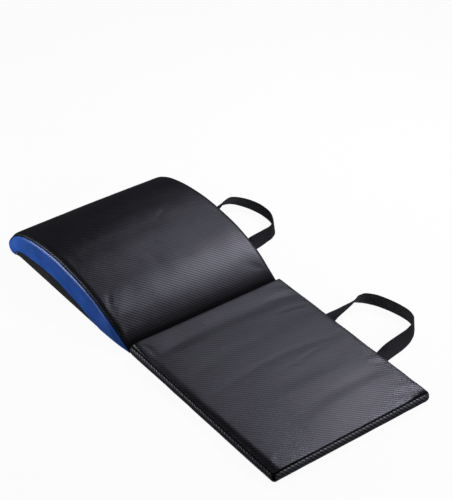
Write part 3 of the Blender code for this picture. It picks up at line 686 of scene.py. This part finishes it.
def thread_cloth():
    """Twisted polyester thread"""
    shader = Shader("thread", Specular_IOR_Level=0.3, Sheen_Weight=0.05)
    place, (around, along, _) = shader.cloth()
    strand = shader.math("MULTIPLY_ADD", along, 1 / TWIST_PITCH, around)
    twist = shader.math("ABSOLUTE", shader.wave(strand, 2.0))
    fuzz = shader.noise(place, 800.0, 2.0)
    shade = shader.math("MULTIPLY_ADD", twist, 0.6, shader.math("MULTIPLY", fuzz, 0.4))
    colour = shader.colours(shade, (0.004, 0.004, 0.005), (0.020, 0.020, 0.022))
    rough = shader.spread(fuzz, 0.3, 0.7, 0.50, 0.65)
    return shader.finish(Base_Color=colour, Roughness=rough, Normal=shader.bump(twist, 0.00008))


BLACK = (0.001, 0.001, 0.001)
top_leather = twill_leather("top_leather", BLACK, (0.015, 0.015, 0.017), 0.50)
# Paler than the top leather, in place of more light from the front lamp: painted light on the
# pad's boxing strips
side_leather = twill_leather("side_leather", BLACK, (0.048, 0.048, 0.056), 0.80)
blue = blue_leather()
side_cloth = plain_cloth("side_cloth", (0.007, 0.007, 0.006), (0.032, 0.029, 0.026),
                         WEAVE_PITCH)
grip_cloth = plain_cloth("grip_cloth", (0.010, 0.010, 0.011), (0.030, 0.030, 0.031),
                         GRIP_PITCH)
webbing = webbing_cloth()
thread = thread_cloth()


# Wedge covers

ribs = Ribs(SECTION_SPACING)


def wedge_settled(shares):
    """How far the wedge's top settles, at shares across each rib"""
    rows = np.linspace(0, len(ribs.y) - 1, WEDGE_SETTLE_ROWS).round().astype(int)
    across = np.linspace(-1, 1, SETTLE_COLUMNS)[None]
    points = ribs.top(across, 0)[rows]
    outward = np.concatenate([0 * ribs.y, -ribs.inward[0], -ribs.inward[1]], axis=1)[rows]
    travelled = ribs.travel[rows]
    sides = (1 - abs(across)) * (ribs.half - ribs.roll)[rows]
    edge = np.minimum(sides, np.minimum(travelled, travelled[-1] - travelled))
    rise = settle(points, outward[:, None], edge, seed=43)
    row = np.interp(np.arange(len(ribs.y)), rows, np.arange(WEDGE_SETTLE_ROWS))[:, None]
    row, column = np.broadcast_arrays(row, (shares + 1) / 2 * (SETTLE_COLUMNS - 1))
    return sample(rise, row, column)


def wedge_shoulder(word, side, seed):
    """Points and cloth places of one shoulder of the top cover, from its seam up, and its
    row of stitches"""
    shares = np.array(SHOULDER_SHARES)[None]
    reach = ribs.roll * WEDGE_SEAM_SHARE * np.pi / 2
    from_seam = reach * shares
    inset = turned_in(from_seam, np.minimum(SEAM_DEPTH, 0.35 * reach))
    inset = inset - PUCKERS["wedge_top"] * puckers(ribs.travel, from_seam, PUCKER_REACH, seed)
    points = ribs.wall(WEDGE_SEAM_SHARE * (1 - shares), side, inset)
    sewn = reach[:, 0] > 2 * STITCH_INSET
    line, normal = seam_line(points[sewn], from_seam[sewn], STITCH_INSET, (side, 0, 1))
    stitches("wedge_top_stitches_" + word, line, normal, "wedge")
    x = side * (ribs.half - ribs.roll + reach * (1 - shares))
    return points, together(x, ribs.travel, from_seam)


def wedge_top_cover():
    """Top cover with both shoulders, from the tail over the crest and the nose to the hem"""
    left = wedge_shoulder("left", -1, seed=11)
    right = wedge_shoulder("right", 1, seed=17)
    shares = np.linspace(-1, 1, TOP_COLUMNS)[None]
    x = shares * (ribs.half - ribs.roll)
    waves = WAVES["wedge_top"] * ripples(x, ribs.travel, size=0.045, seed=5)
    inset = -waves * (1 - shares**4)
    inset = inset - folds(x, ribs.travel, WEDGE_FOLDS) * ramp(1.0, 0.93, abs(shares))
    inset = inset - 0.7 * wedge_settled(shares) * ramp(1.0, 0.95, abs(shares))
    # Painted shade over the valley by the fold: the top's third cloth value grows from the tail,
    # so the leather is darkened and its coat thinned up to about 37 mm along the profile from it
    top = ribs.top(shares, inset), together(x, ribs.travel, ribs.travel * 0.06)
    points, cloth = (np.concatenate([first[:, :-1], middle, last[:, -2::-1]], axis=1)
                     for first, middle, last in zip(left, top, right))
    # The tail's edge is turned down and sewn to the hinge strip
    edge = points[0]
    for height_share, reach_share in ((1.0, 0.55), (0.72, 0.85), (0.42, 1.0)):
        row = edge - (0, TAIL_REACH * reach_share, 0)
        row[:, 2] = TAIL_FOOT + (edge[:, 2] - TAIL_FOOT) * height_share
        points = np.concatenate([row[None], points])
        cloth = np.concatenate([cloth[:1] - (0, 0.001, 0), cloth])
    piece = add_piece("wedge_top", points, cloth, top_leather)
    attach(piece, "wedge")
    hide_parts("wedge_top_cover", "wedge_foam_core")


def wedge_band(word, side, arch):
    """Blue panel from the top's seam down to the lower panel, or to the base"""
    wall_length = np.hypot(ribs.y - ribs.foot, ribs.z) - ribs.roll - ribs.base_roll
    roll_length = ribs.roll * (1 - WEDGE_SEAM_SHARE) * np.pi / 2
    base_length = ribs.base_roll * np.pi / 2
    length = (roll_length + wall_length * np.clip(arch - 1, 0, 1)
              + base_length * np.clip(arch - 2, 0, 1))
    down = np.array(WALL_SHARES)[None] * length
    past_roll = down - roll_length
    turns = np.where(past_roll < 0, 1 + past_roll / roll_length * (1 - WEDGE_SEAM_SHARE),
                     1 + past_roll / np.maximum(wall_length, 1e-4))
    past_wall = np.maximum(past_roll - wall_length, 0)
    turns = np.minimum(np.where(turns > 2, 2 + past_wall / base_length, turns), arch)
    seam = np.minimum(down, length - down)
    bulge = BULGE_HEIGHT * np.exp(-((down - BULGE_DROP) / BULGE_REACH)**2)
    inset = (turned_in(seam, np.minimum(SEAM_DEPTH, 0.2 * length))
             - PUCKERS["band"] * puckers(ribs.travel, down, PUCKER_REACH, seed=23 + side)
             - WAVES["band"] * ripples(ribs.travel, down, size=0.05, seed=31 + side)
             - bulge * ramp(0.02, 0.04, length))
    keep = slice(0, int(np.argmax(ribs.travel > ribs.travel[-1] - BAND_MARGIN)))
    points = ribs.wall(turns, side, inset)[keep]
    cloth = together(ribs.travel, down, seam)[keep]
    piece = add_piece("wedge_band_" + word, points, cloth, blue)
    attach(piece, "wedge")
    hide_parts("wedge_side_band_" + word)


def wedge_panel(word, side, arch):
    """Lens-shaped panel between the blue panel's arched edge and the base"""
    rows = np.flatnonzero(arch[:, 0] < 2.9)
    rows = slice(rows[0], rows[-1] + 1)
    shares = np.array(WALL_SHARES)[None]
    height = ribs.wall(arch, side, 0)[..., 2]
    down = shares * height
    inset = turned_in(down, np.minimum(PANEL_SEAM_DEPTH, 0.25 * height)) + TUCK
    points = ribs.wall(arch + shares * (3 - arch), side, inset)[rows]
    cloth = together(ribs.foot, down, np.minimum(down, 0.01))[rows]
    piece = add_piece("wedge_panel_" + word, points, cloth, side_cloth)
    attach(piece, "wedge")
    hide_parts("wedge_lower_panel_" + word)


wedge_top_cover()
for word, side in (("left", -1), ("right", 1)):
    arch = ribs.arch_turn(side)
    wedge_band(word, side, arch)
    wedge_panel(word, side, arch)


# Pad covers

def pad_crown(x, y):
    """How far the pad's top rises over its edge"""
    return PAD_CROWN * (np.clip(1 - (x / (HALF_WIDTH - PAD_ROLL))**2, 0, 1)
                        * np.clip(1 - (y / (PAD_LENGTH / 2 - PAD_ROLL))**2, 0, 1))


def pad_settled(x, y):
    """How far the pad's top settles"""
    half_x, half_y = HALF_WIDTH - SETTLE_MARGIN, PAD_LENGTH / 2 - SETTLE_MARGIN
    grid_x, grid_y = np.meshgrid(np.linspace(-half_x, half_x, SETTLE_COLUMNS),
                                 np.linspace(-half_y, half_y, PAD_SETTLE_ROWS))
    points = together(grid_x, grid_y, PAD_THICKNESS + pad_crown(grid_x, grid_y))
    edge = np.minimum(half_x - abs(grid_x), half_y - abs(grid_y))
    rise = settle(points, np.array((0, 0, 1)), edge, seed=41)
    return sample(rise, (y + half_y) / (2 * half_y) * (PAD_SETTLE_ROWS - 1),
                  (x + half_x) / (2 * half_x) * (SETTLE_COLUMNS - 1))


def edge_sag(x, y):
    """How far the seams along the pad's left and right edges are drawn down"""
    to_front = ramp(0.16, -0.17, y)
    reach = 0.005 + 0.009 * to_front
    left = (0.0006 + 0.0022 * to_front) * ramp(1.0, 0.0, (HALF_WIDTH + x) / reach)
    right = 0.0006 * ramp(0.010, 0.0, HALF_WIDTH - x)
    return left + right


def round_corners(x, y, inset):
    """Moves points of a square-cornered ring onto the round-cornered one"""
    zone = 0.012
    half_x, half_y = HALF_WIDTH - inset, PAD_LENGTH / 2 - inset
    from_x, from_y = half_x - np.abs(x), half_y - np.abs(y)
    radius = np.maximum(PAD_CORNER - inset, 0)
    leg = np.maximum(from_x, from_y)
    path = zone - radius + radius * np.pi / 4
    place = np.clip(1 - leg / zone, 0, 1) * path
    angle = np.where(radius > 0, np.clip((place - zone + radius)
                                         / np.maximum(radius, 1e-9), 0, np.pi / 4), 0)
    straight = np.minimum(place, zone - radius)
    main = radius * (1 - np.cos(angle))
    other = zone - straight - radius * np.sin(angle)
    near = leg < zone
    on_x = from_x <= from_y
    new_x = np.where(near, np.where(on_x, main, other), from_x)
    new_y = np.where(near, np.where(on_x, other, main), from_y)
    return np.sign(x) * (half_x - new_x), np.sign(y) * (half_y - new_y)


def pad_top_cover():
    """Crowned top cover from seam to seam, humped behind the fold and gathered in front"""
    roll_shares = np.array(ROLL_SHARES)
    turn = PAD_SEAM_SHARE * (1 - roll_shares)
    out, height = edge_roll(turn)
    depth = np.concatenate([-out, PAD_ROLL + np.array(RIM_STEPS)])
    lines = []
    for half, count in ((HALF_WIDTH, PAD_COLUMNS), (PAD_LENGTH / 2, PAD_ROWS)):
        rim = half - depth[:-1]
        inner = np.linspace(depth[-1] - half, half - depth[-1], count)
        lines.append(np.concatenate([-rim, inner, rim[::-1]]))
    x, y = np.meshgrid(*lines)
    inset = np.minimum(HALF_WIDTH - np.abs(x), PAD_LENGTH / 2 - np.abs(y))
    roll_length = PAD_ROLL * PAD_SEAM_SHARE * np.pi / 2
    from_seam = (np.interp(inset, -out, roll_shares * roll_length)
                 + np.maximum(inset - PAD_ROLL, 0))
    along_x = PAD_LENGTH / 2 - np.abs(y) < HALF_WIDTH - np.abs(x)
    around = np.where(along_x, x, y + 1)
    z = np.interp(inset, -out, height)
    angle = np.interp(inset, -out, turn) * np.pi / 2
    x, y = round_corners(x, y, inset)
    from_left, from_right = HALF_WIDTH + x, HALF_WIDTH - x
    from_front = np.maximum(PAD_LENGTH / 2 + y, 0.0)
    # The right front corner is gathered into the seam, and calm beside it; the gather also widens
    # the painted seam shade
    dart = ramp(0.050, 0.008, from_right) * ramp(0.020, 0.004, from_front)
    calm = ramp(0.035, 0.012, from_right) * ramp(0.10, 0.05, from_front)
    hump = HUMP_HEIGHT * np.exp(-((PAD_LENGTH / 2 - HUMP_PLACE - y) / HUMP_REACH)**2)
    settled = 0.8 * pad_settled(x, y) * ramp(0.0, 0.006, from_seam)
    waves = WAVES["pad_top"] * ripples(x * 0.35, y, size=0.030, seed=71)
    gathered = PUCKERS["pad_top"] * puckers(around, from_seam, reach=0.007, seed=73)
    lift = (waves * ramp(0.0, 0.012, from_seam)
            + hump * ramp(0.0, 0.005, from_seam)
            + folds(x, y, PAD_FOLDS) * ramp(0.0005, 0.006, from_seam)
            + 0.0010 * ramp(0.004, 0.014, from_left) * ramp(0.10, 0.02, from_left)
            + settled * (1 - 0.85 * calm) - edge_sag(x, y)
            + (1 - 0.8 * calm) * gathered
            - 0.0012 * dart * ramp(0.006, 0.0, from_front))
    ridge = turned_in(from_seam, SEAM_DEPTH)
    drawn = 1 - ridge * np.sin(angle) / HALF_WIDTH
    points = together(x * drawn, y * drawn + PAD_Y, z + pad_crown(x, y) + lift - ridge)
    # Painted shadow: near the right front corner the third cloth value shrinks, so the seam's
    # painted shade widens into a dark crease with a serrated edge
    gathers = 1 + 0.3 * np.sin(x / GATHER_PITCH * 2 * np.pi + 1.5 * np.sin(x / 0.007))
    cloth = together(x, y, np.minimum(from_seam, from_front / (1 + 9 * dart * gathers)))
    piece = add_piece("pad_top", points, cloth, top_leather)
    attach(piece, "pad")
    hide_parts("pad_top_cover", "pad_foam_core")


def boxing_arc():
    """Centre, radius, half angle and outward direction of a boxing strip's bulge, in a
    plane of ways out from the pad's outline and heights"""
    top = np.array(edge_roll(PAD_SEAM_SHARE))
    foot = np.array((-BASE_ROLL, GAP))
    half_chord = np.linalg.norm(top - foot) / 2
    rise = PAD_PUFF - (top[0] + foot[0]) / 2
    radius = (half_chord**2 + rise**2) / (2 * rise)
    middle = (top + foot) / 2
    outward = np.array((top[1] - foot[1], foot[0] - top[0])) / (2 * half_chord)
    return middle + outward * (rise - radius), radius, np.arcsin(half_chord / radius), outward


def pad_boxing(word, anchor, normal, seed):
    """Strip round one side of the pad, bulging between its seams"""
    centre, radius, half_angle, outward = boxing_arc()
    along = travel(anchor + normal * PAD_CORNER)
    shares = np.array(WALL_SHARES)[:, None]
    length = 2 * half_angle * radius
    down = shares * length
    end = np.minimum(along, along[-1] - along)
    gathers = np.sin(down / GATHER_PITCH * 2 * np.pi + 0.8) * np.exp(-(end / 0.009)**2)
    inset = np.maximum(turned_in(down, SEAM_DEPTH), turned_in(length - down, BASE_SEAM_DEPTH))
    inset = (np.maximum(inset, turned_in(end, END_SEAM_DEPTH))
             - PUCKERS["boxing"] * puckers(along, down, reach=0.005, seed=seed)
             - WAVES["boxing"] * ripples(along, down * 0.5, size=0.020, seed=seed + 5)
             + 0.00035 * gathers * ramp(0.0, 0.004, down))
    angle = half_angle * (1 - 2 * shares)
    upward = np.array((-outward[1], outward[0]))
    way = np.cos(angle)[..., None] * outward + np.sin(angle)[..., None] * upward
    place = centre + (radius - inset)[..., None] * way
    flat = anchor + normal * (PAD_CORNER + place[..., :1])
    z = place[..., 1]
    z = z - edge_sag(flat[..., 0], flat[..., 1]) * np.clip(z / PAD_THICKNESS, 0, 1)
    points = np.concatenate([flat + (0, PAD_Y), z[..., None]], axis=-1)
    line, way_out = seam_line(points.transpose(1, 0, 2), np.tile(down.T, (len(along), 1)),
                              STITCH_INSET, together(*normal.T, 0.5))
    sewn = end > 0.002
    stitches("pad_boxing_stitches_" + word, line[sewn], way_out[sewn], "pad")
    seam = np.minimum(np.minimum(down, length - down), end)
    piece = add_piece("pad_boxing_strip_" + word, points, together(along, -down, seam),
                      side_leather)
    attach(piece, "pad")
    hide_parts("pad_boxing_" + word)


pad_top_cover()
for word, (anchor, normal), seed in zip(("right", "hinge", "left", "front"),
                                        pad_outline(SECTION_SPACING), (83, 85, 87, 89)):
    pad_boxing(word, anchor, normal, seed)


# Base covers and the hinge strip between the halves

def base_cover(name, node, half_widths, lengths, body):
    """Flat grip cloth whose edges turn up at the seam"""
    start, end = lengths
    rows = np.linspace(start, end, int((end - start) / BASE_STEP))[:, None]
    half = half_widths(rows)
    x = half * np.concatenate([-BASE_EDGE_SHARES[::-1], np.linspace(-0.985, 0.985, 70),
                               BASE_EDGE_SHARES])
    edge = np.minimum(half - np.abs(x), np.minimum(rows - start, end - rows))
    waves = WAVES["base"] * ripples(x, rows, size=0.03, seed=91)
    z = GAP + turned_in(edge, BASE_SEAM_DEPTH) + waves
    piece = add_piece(name, together(x, rows, z), together(x, rows, edge), grip_cloth)
    if piece.data.polygons[len(piece.data.polygons) // 2].normal.z > 0:
        piece.data.flip_normals()
    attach(piece, body)
    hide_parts(node)
    y = np.arange(start + BASE_HEM, end - BASE_HEM, BASE_STEP)
    side = half_widths(y) - BASE_HEM
    corners = np.concatenate([together(side, y), together(-side, y)[::-1],
                              [(side[0], y[0])]])
    line = together(*evenly(corners, BASE_STEP / 2).T, GAP)
    stitches(name + "_stitches", line, np.tile((0.0, 0.0, -1.0), (len(line), 1)), body)


def wedge_base_half(y):
    return wedge_half(y - FOLD_Y) - BASE_ROLL + TUCK


def pad_base_half(y):
    return HALF_WIDTH - BASE_ROLL + TUCK + 0 * y


base_cover("wedge_base", "wedge_base_cover", wedge_base_half,
           (FOLD_Y + FOLD_MARGIN, FOLD_Y + HEM_SHARE * WEDGE_LENGTH), "wedge")
base_cover("pad_base", "pad_base_cover", pad_base_half,
           (PAD_Y - PAD_LENGTH / 2 + BASE_ROLL, FOLD_Y - FOLD_MARGIN), "pad")


def hinge_strip():
    """One strip of cloth across the fold, sewn inside both base covers"""
    half = HALF_WIDTH - PAD_CORNER
    low = HINGE_SECTION[-1][1]
    line = np.array([*HINGE_SECTION, *((y, low) for y in np.linspace(-HINGE_BEND, HINGE_BEND, 13)),
                     *((-y, z) for y, z in reversed(HINGE_SECTION))])
    x = np.linspace(-half, half, HINGE_COLUMNS)[:, None]
    along = unit(np.gradient(line, axis=0))
    up = together(-along[:, 1], along[:, 0]) * CLOTH / 2
    ring = np.concatenate([line + up, (line - up)[::-1]])
    length = np.concatenate([travel(line), travel(line)[::-1]])
    points = together(x, ring[:, 0] + FOLD_Y, ring[:, 1])
    piece = add_piece("hinge_strip", points, together(x, length, 0.01), grip_cloth,
                      closed=True)
    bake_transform(piece)
    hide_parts("wedge_hinge_flap", "pad_hinge_flap")


hinge_strip()


# Webbing handles

def webbing_ring():
    """Section of the webbing with rounded edges, as places across and through it"""
    half_width, half_thick = WEBBING_WIDTH / 2, WEBBING_THICKNESS / 2
    edge_reach = 0.8 * half_thick
    tip = half_width - edge_reach
    turn = np.linspace(-np.pi / 2, np.pi / 2, 6)[1:-1]
    half_ring = np.concatenate([
        together(np.linspace(-tip, tip, 15), -half_thick),
        together(tip + edge_reach * np.cos(turn), half_thick * np.sin(turn))])
    return np.concatenate([half_ring, -half_ring])


def handle(name, loop, reach, root, nodes):
    """Webbing loop that leans over and lies down, with its two sewn ends"""
    line = smooth_curve(np.array(loop) * (reach, HANDLE_SPAN / 2, 1), 10)
    line = evenly(line, WEBBING_STEP)
    along = np.gradient(line[:, :2], axis=0)
    inward = unit(together(along[:, 1], -along[:, 0]))
    inward[0], inward[-1] = (0, -1), (0, 1)
    lean = np.clip(line[:, 2], 0, 1) * np.pi / 2
    edge = GAP + WEBBING_THICKNESS / 2 * np.sin(lean)
    height = edge + np.cos(lean) * WEBBING_WIDTH / 2
    height += np.sin(lean)**4 * (REST_HEIGHT - edge) - REST_HEIGHT
    middles = np.column_stack([line[:, :2], height])
    across = np.column_stack([inward * np.sin(lean)[:, None], np.cos(lean)])
    # Each sewn end runs on flat into the seam, and then the line is turned round
    ends = np.arange(-SEWN_END, 0, WEBBING_STEP)
    for way in (1, -1):
        end = together(ends, way * HANDLE_SPAN / 2, 0)
        flat = np.tile((0.0, -way, 0.0), (len(ends), 1))
        middles = np.concatenate([end, middles])[::-1]
        across = np.concatenate([flat, across])[::-1]
    along = unit(np.gradient(middles, axis=0))
    through = unit(np.cross(along, across))
    across = np.cross(through, along)
    ring = webbing_ring()
    points = (middles[:, None] + across[:, None] * ring[:, :1]
              + through[:, None] * ring[:, 1:] + np.array(root))
    cloth = together(ring[:, 0] + 0.02, travel(middles)[:, None],
                     WEBBING_WIDTH / 2 - np.abs(ring[:, 0]))
    piece = add_piece(name, points, cloth, webbing, closed=True)
    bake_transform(piece)
    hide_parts(*nodes)


for half, loop, reach, root in (("wedge", WEDGE_LOOP_SHARES, WEDGE_LOOP_REACH, WEDGE_ROOT),
                                ("pad", PAD_LOOP_SHARES, PAD_LOOP_REACH, PAD_ROOT)):
    handle(half + "_webbing", loop, reach, root,
           (half + "_handle_strap", half + "_handle_tab_rear", half + "_handle_tab_front"))


# Floor, light and camera

FLOOR_HALF = 4.0
FLOOR_Z = -0.0002
FOLDED_FLOOR_Z = PAD_THICKNESS + 0.0030
CARDS_RADIUS = 6.0
BLUISH = (0.83, 0.82, 1.0)
PLAIN = (0.90, 0.92, 1.0)
CAMERA_LENS = 111.85
CAMERA_PLACE = (-1.2133, -1.8662, 1.6075)
CAMERA_AZIMUTH = math.radians(-36.818)
CAMERA_ELEVATION = math.radians(35.304)


def floor_material():
    """White that glows for the camera alone, and nothing from behind"""
    shader = Shader("floor", Roughness=0.9, Specular_IOR_Level=0.0,
                    Base_Color=(0.85, 0.85, 0.85, 1))
    path = shader.node("LightPath", {}).outputs
    glow = shader.node("Emission", {"Color": (1, 1, 1, 1), "Strength": 1.0})
    mix = shader.node("MixShader", {0: shader.math("MULTIPLY", path["Is Camera Ray"], 0.95),
                                    1: shader.surface.outputs[0], 2: glow.outputs[0]})
    back = shader.node("NewGeometry", {}).outputs["Backfacing"]
    clear = shader.node("BsdfTransparent", {})
    side = shader.node("MixShader", {0: back, 1: mix.outputs[0], 2: clear.outputs[0]})
    output = next(node for node in shader.tree.nodes if node.type == "OUTPUT_MATERIAL")
    shader.tree.links.new(side.outputs[0], output.inputs["Surface"])
    return shader.material


def add_floor(name, z, faces_up, material):
    """Floor that rides on the pad. One face is clear, so that one floor shows under the
    unfolded mat and the other, over the pad's top, under the folded one."""
    corners = [(x * FLOOR_HALF, y * FLOOR_HALF, z)
               for x, y in ((-1, -1), (1, -1), (1, 1), (-1, 1))]
    mesh = bpy.data.meshes.new(name)
    mesh.from_pydata(corners, [], [(0, 1, 2, 3) if faces_up else (3, 2, 1, 0)])
    mesh.materials.append(material)
    obj = add_object(name, mesh)
    hide_from(obj, "shadow", "diffuse", "glossy", "transmission")
    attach(obj, "pad")


def add_backdrop():
    """World that is white to the camera and dim as a light"""
    world = bpy.data.worlds.new("studio")
    bpy.context.scene.world = world
    nodes = Nodes(world)
    seen = nodes.node("LightPath", {}).outputs["Is Camera Ray"]
    background = nodes.tree.nodes["Background"]
    background.inputs["Strength"].default_value = 1.0
    nodes.tree.links.new(nodes.colours(seen, (0.06, 0.06, 0.07), (1, 1, 1)),
                         background.inputs["Color"])


def add_lamp(name, location, target, size, power, colour):
    """Softbox that faces its target"""
    lamp = bpy.data.lights.new(name, "AREA")
    lamp.shape = "RECTANGLE"
    lamp.size, lamp.size_y = size
    lamp.energy = power
    lamp.color = colour
    obj = add_object(name, lamp)
    obj.location = location
    way = Vector(target) - Vector(location)
    obj.rotation_euler = way.to_track_quat("-Z", "Y").to_euler()


def add_dark_cards():
    """Dark cards round the set, which only reflections see: the black leather shows the
    softboxes and no more of the pale backdrop than it does in the photograph"""
    shader = Shader("dark_card", Roughness=1.0, Specular_IOR_Level=0.0,
                    Base_Color=(0, 0, 0, 1), Emission_Color=(0.86, 0.86, 1.0, 1))
    place = shader.node("NewGeometry", {}).outputs["Position"]
    back = shader.node("SeparateXYZ", {0: place}).outputs["Y"]
    glow = shader.node("MapRange", {"Value": back, "From Min": -2.5, "From Max": 1.5,
                                    "To Min": 0.0, "To Max": 0.05},
                       interpolation_type="SMOOTHSTEP").outputs[0]
    shader.finish(Emission_Strength=glow)
    shader.material.cycles.emission_sampling = "NONE"
    sphere = bmesh.new()
    bmesh.ops.create_icosphere(sphere, subdivisions=2, radius=CARDS_RADIUS)
    mesh = bpy.data.meshes.new("dark_cards")
    sphere.to_mesh(mesh)
    sphere.free()
    mesh.materials.append(shader.material)
    obj = add_object("dark_cards", mesh)
    hide_from(obj, "camera", "shadow", "diffuse", "transmission")


def add_camera():
    """Camera fitted to the photograph's straight edges"""
    camera = bpy.data.cameras.new("camera")
    camera.lens = CAMERA_LENS
    camera.sensor_width = 36
    camera.sensor_fit = "AUTO"
    level = math.cos(CAMERA_ELEVATION)
    back = Vector((math.sin(CAMERA_AZIMUTH) * level, -math.cos(CAMERA_AZIMUTH) * level,
                   math.sin(CAMERA_ELEVATION)))
    right = Vector((math.cos(CAMERA_AZIMUTH), math.sin(CAMERA_AZIMUTH), 0))
    turn = Matrix((right, back.cross(right), back)).transposed().to_4x4()
    obj = add_object("camera", camera)
    obj.matrix_world = Matrix.Translation(CAMERA_PLACE) @ turn
    bpy.context.scene.camera = obj
    bpy.context.scene.view_settings.view_transform = "Standard"


floor = floor_material()
add_floor("floor_unfolded", FLOOR_Z, True, floor)
add_floor("floor_folded", FOLDED_FLOOR_Z, False, floor)
add_backdrop()
add_lamp("softbox_key", (0.79, -0.01, 0.95), (0.0, -0.19, 0.0), (0.2, 0.5), 10.1, BLUISH)
add_lamp("softbox_crest", (0.36, 0.25, 0.68), (0.0, -0.06, 0.06), (0.35, 0.2), 0.30, BLUISH)
add_lamp("softbox_back", (0.75, 0.66, 0.95), (0.0, -0.19, 0.0), (0.35, 0.35), 2.0, BLUISH)
add_lamp("softbox_front", (0.80, -1.69, 0.58), (0.0, -0.57, 0.0), (0.3, 0.3), 17.0, PLAIN)
add_lamp("softbox_nose", (-0.85, 0.64, 0.20), (-0.1, 0.05, 0.03), (0.6, 0.4), 8.0, PLAIN)
add_lamp("softbox_under", (0.0, -0.15, -1.2), (0.0, -0.19, 0.0), (1.0, 1.0), 9.0, PLAIN)
add_dark_cards()
add_camera()
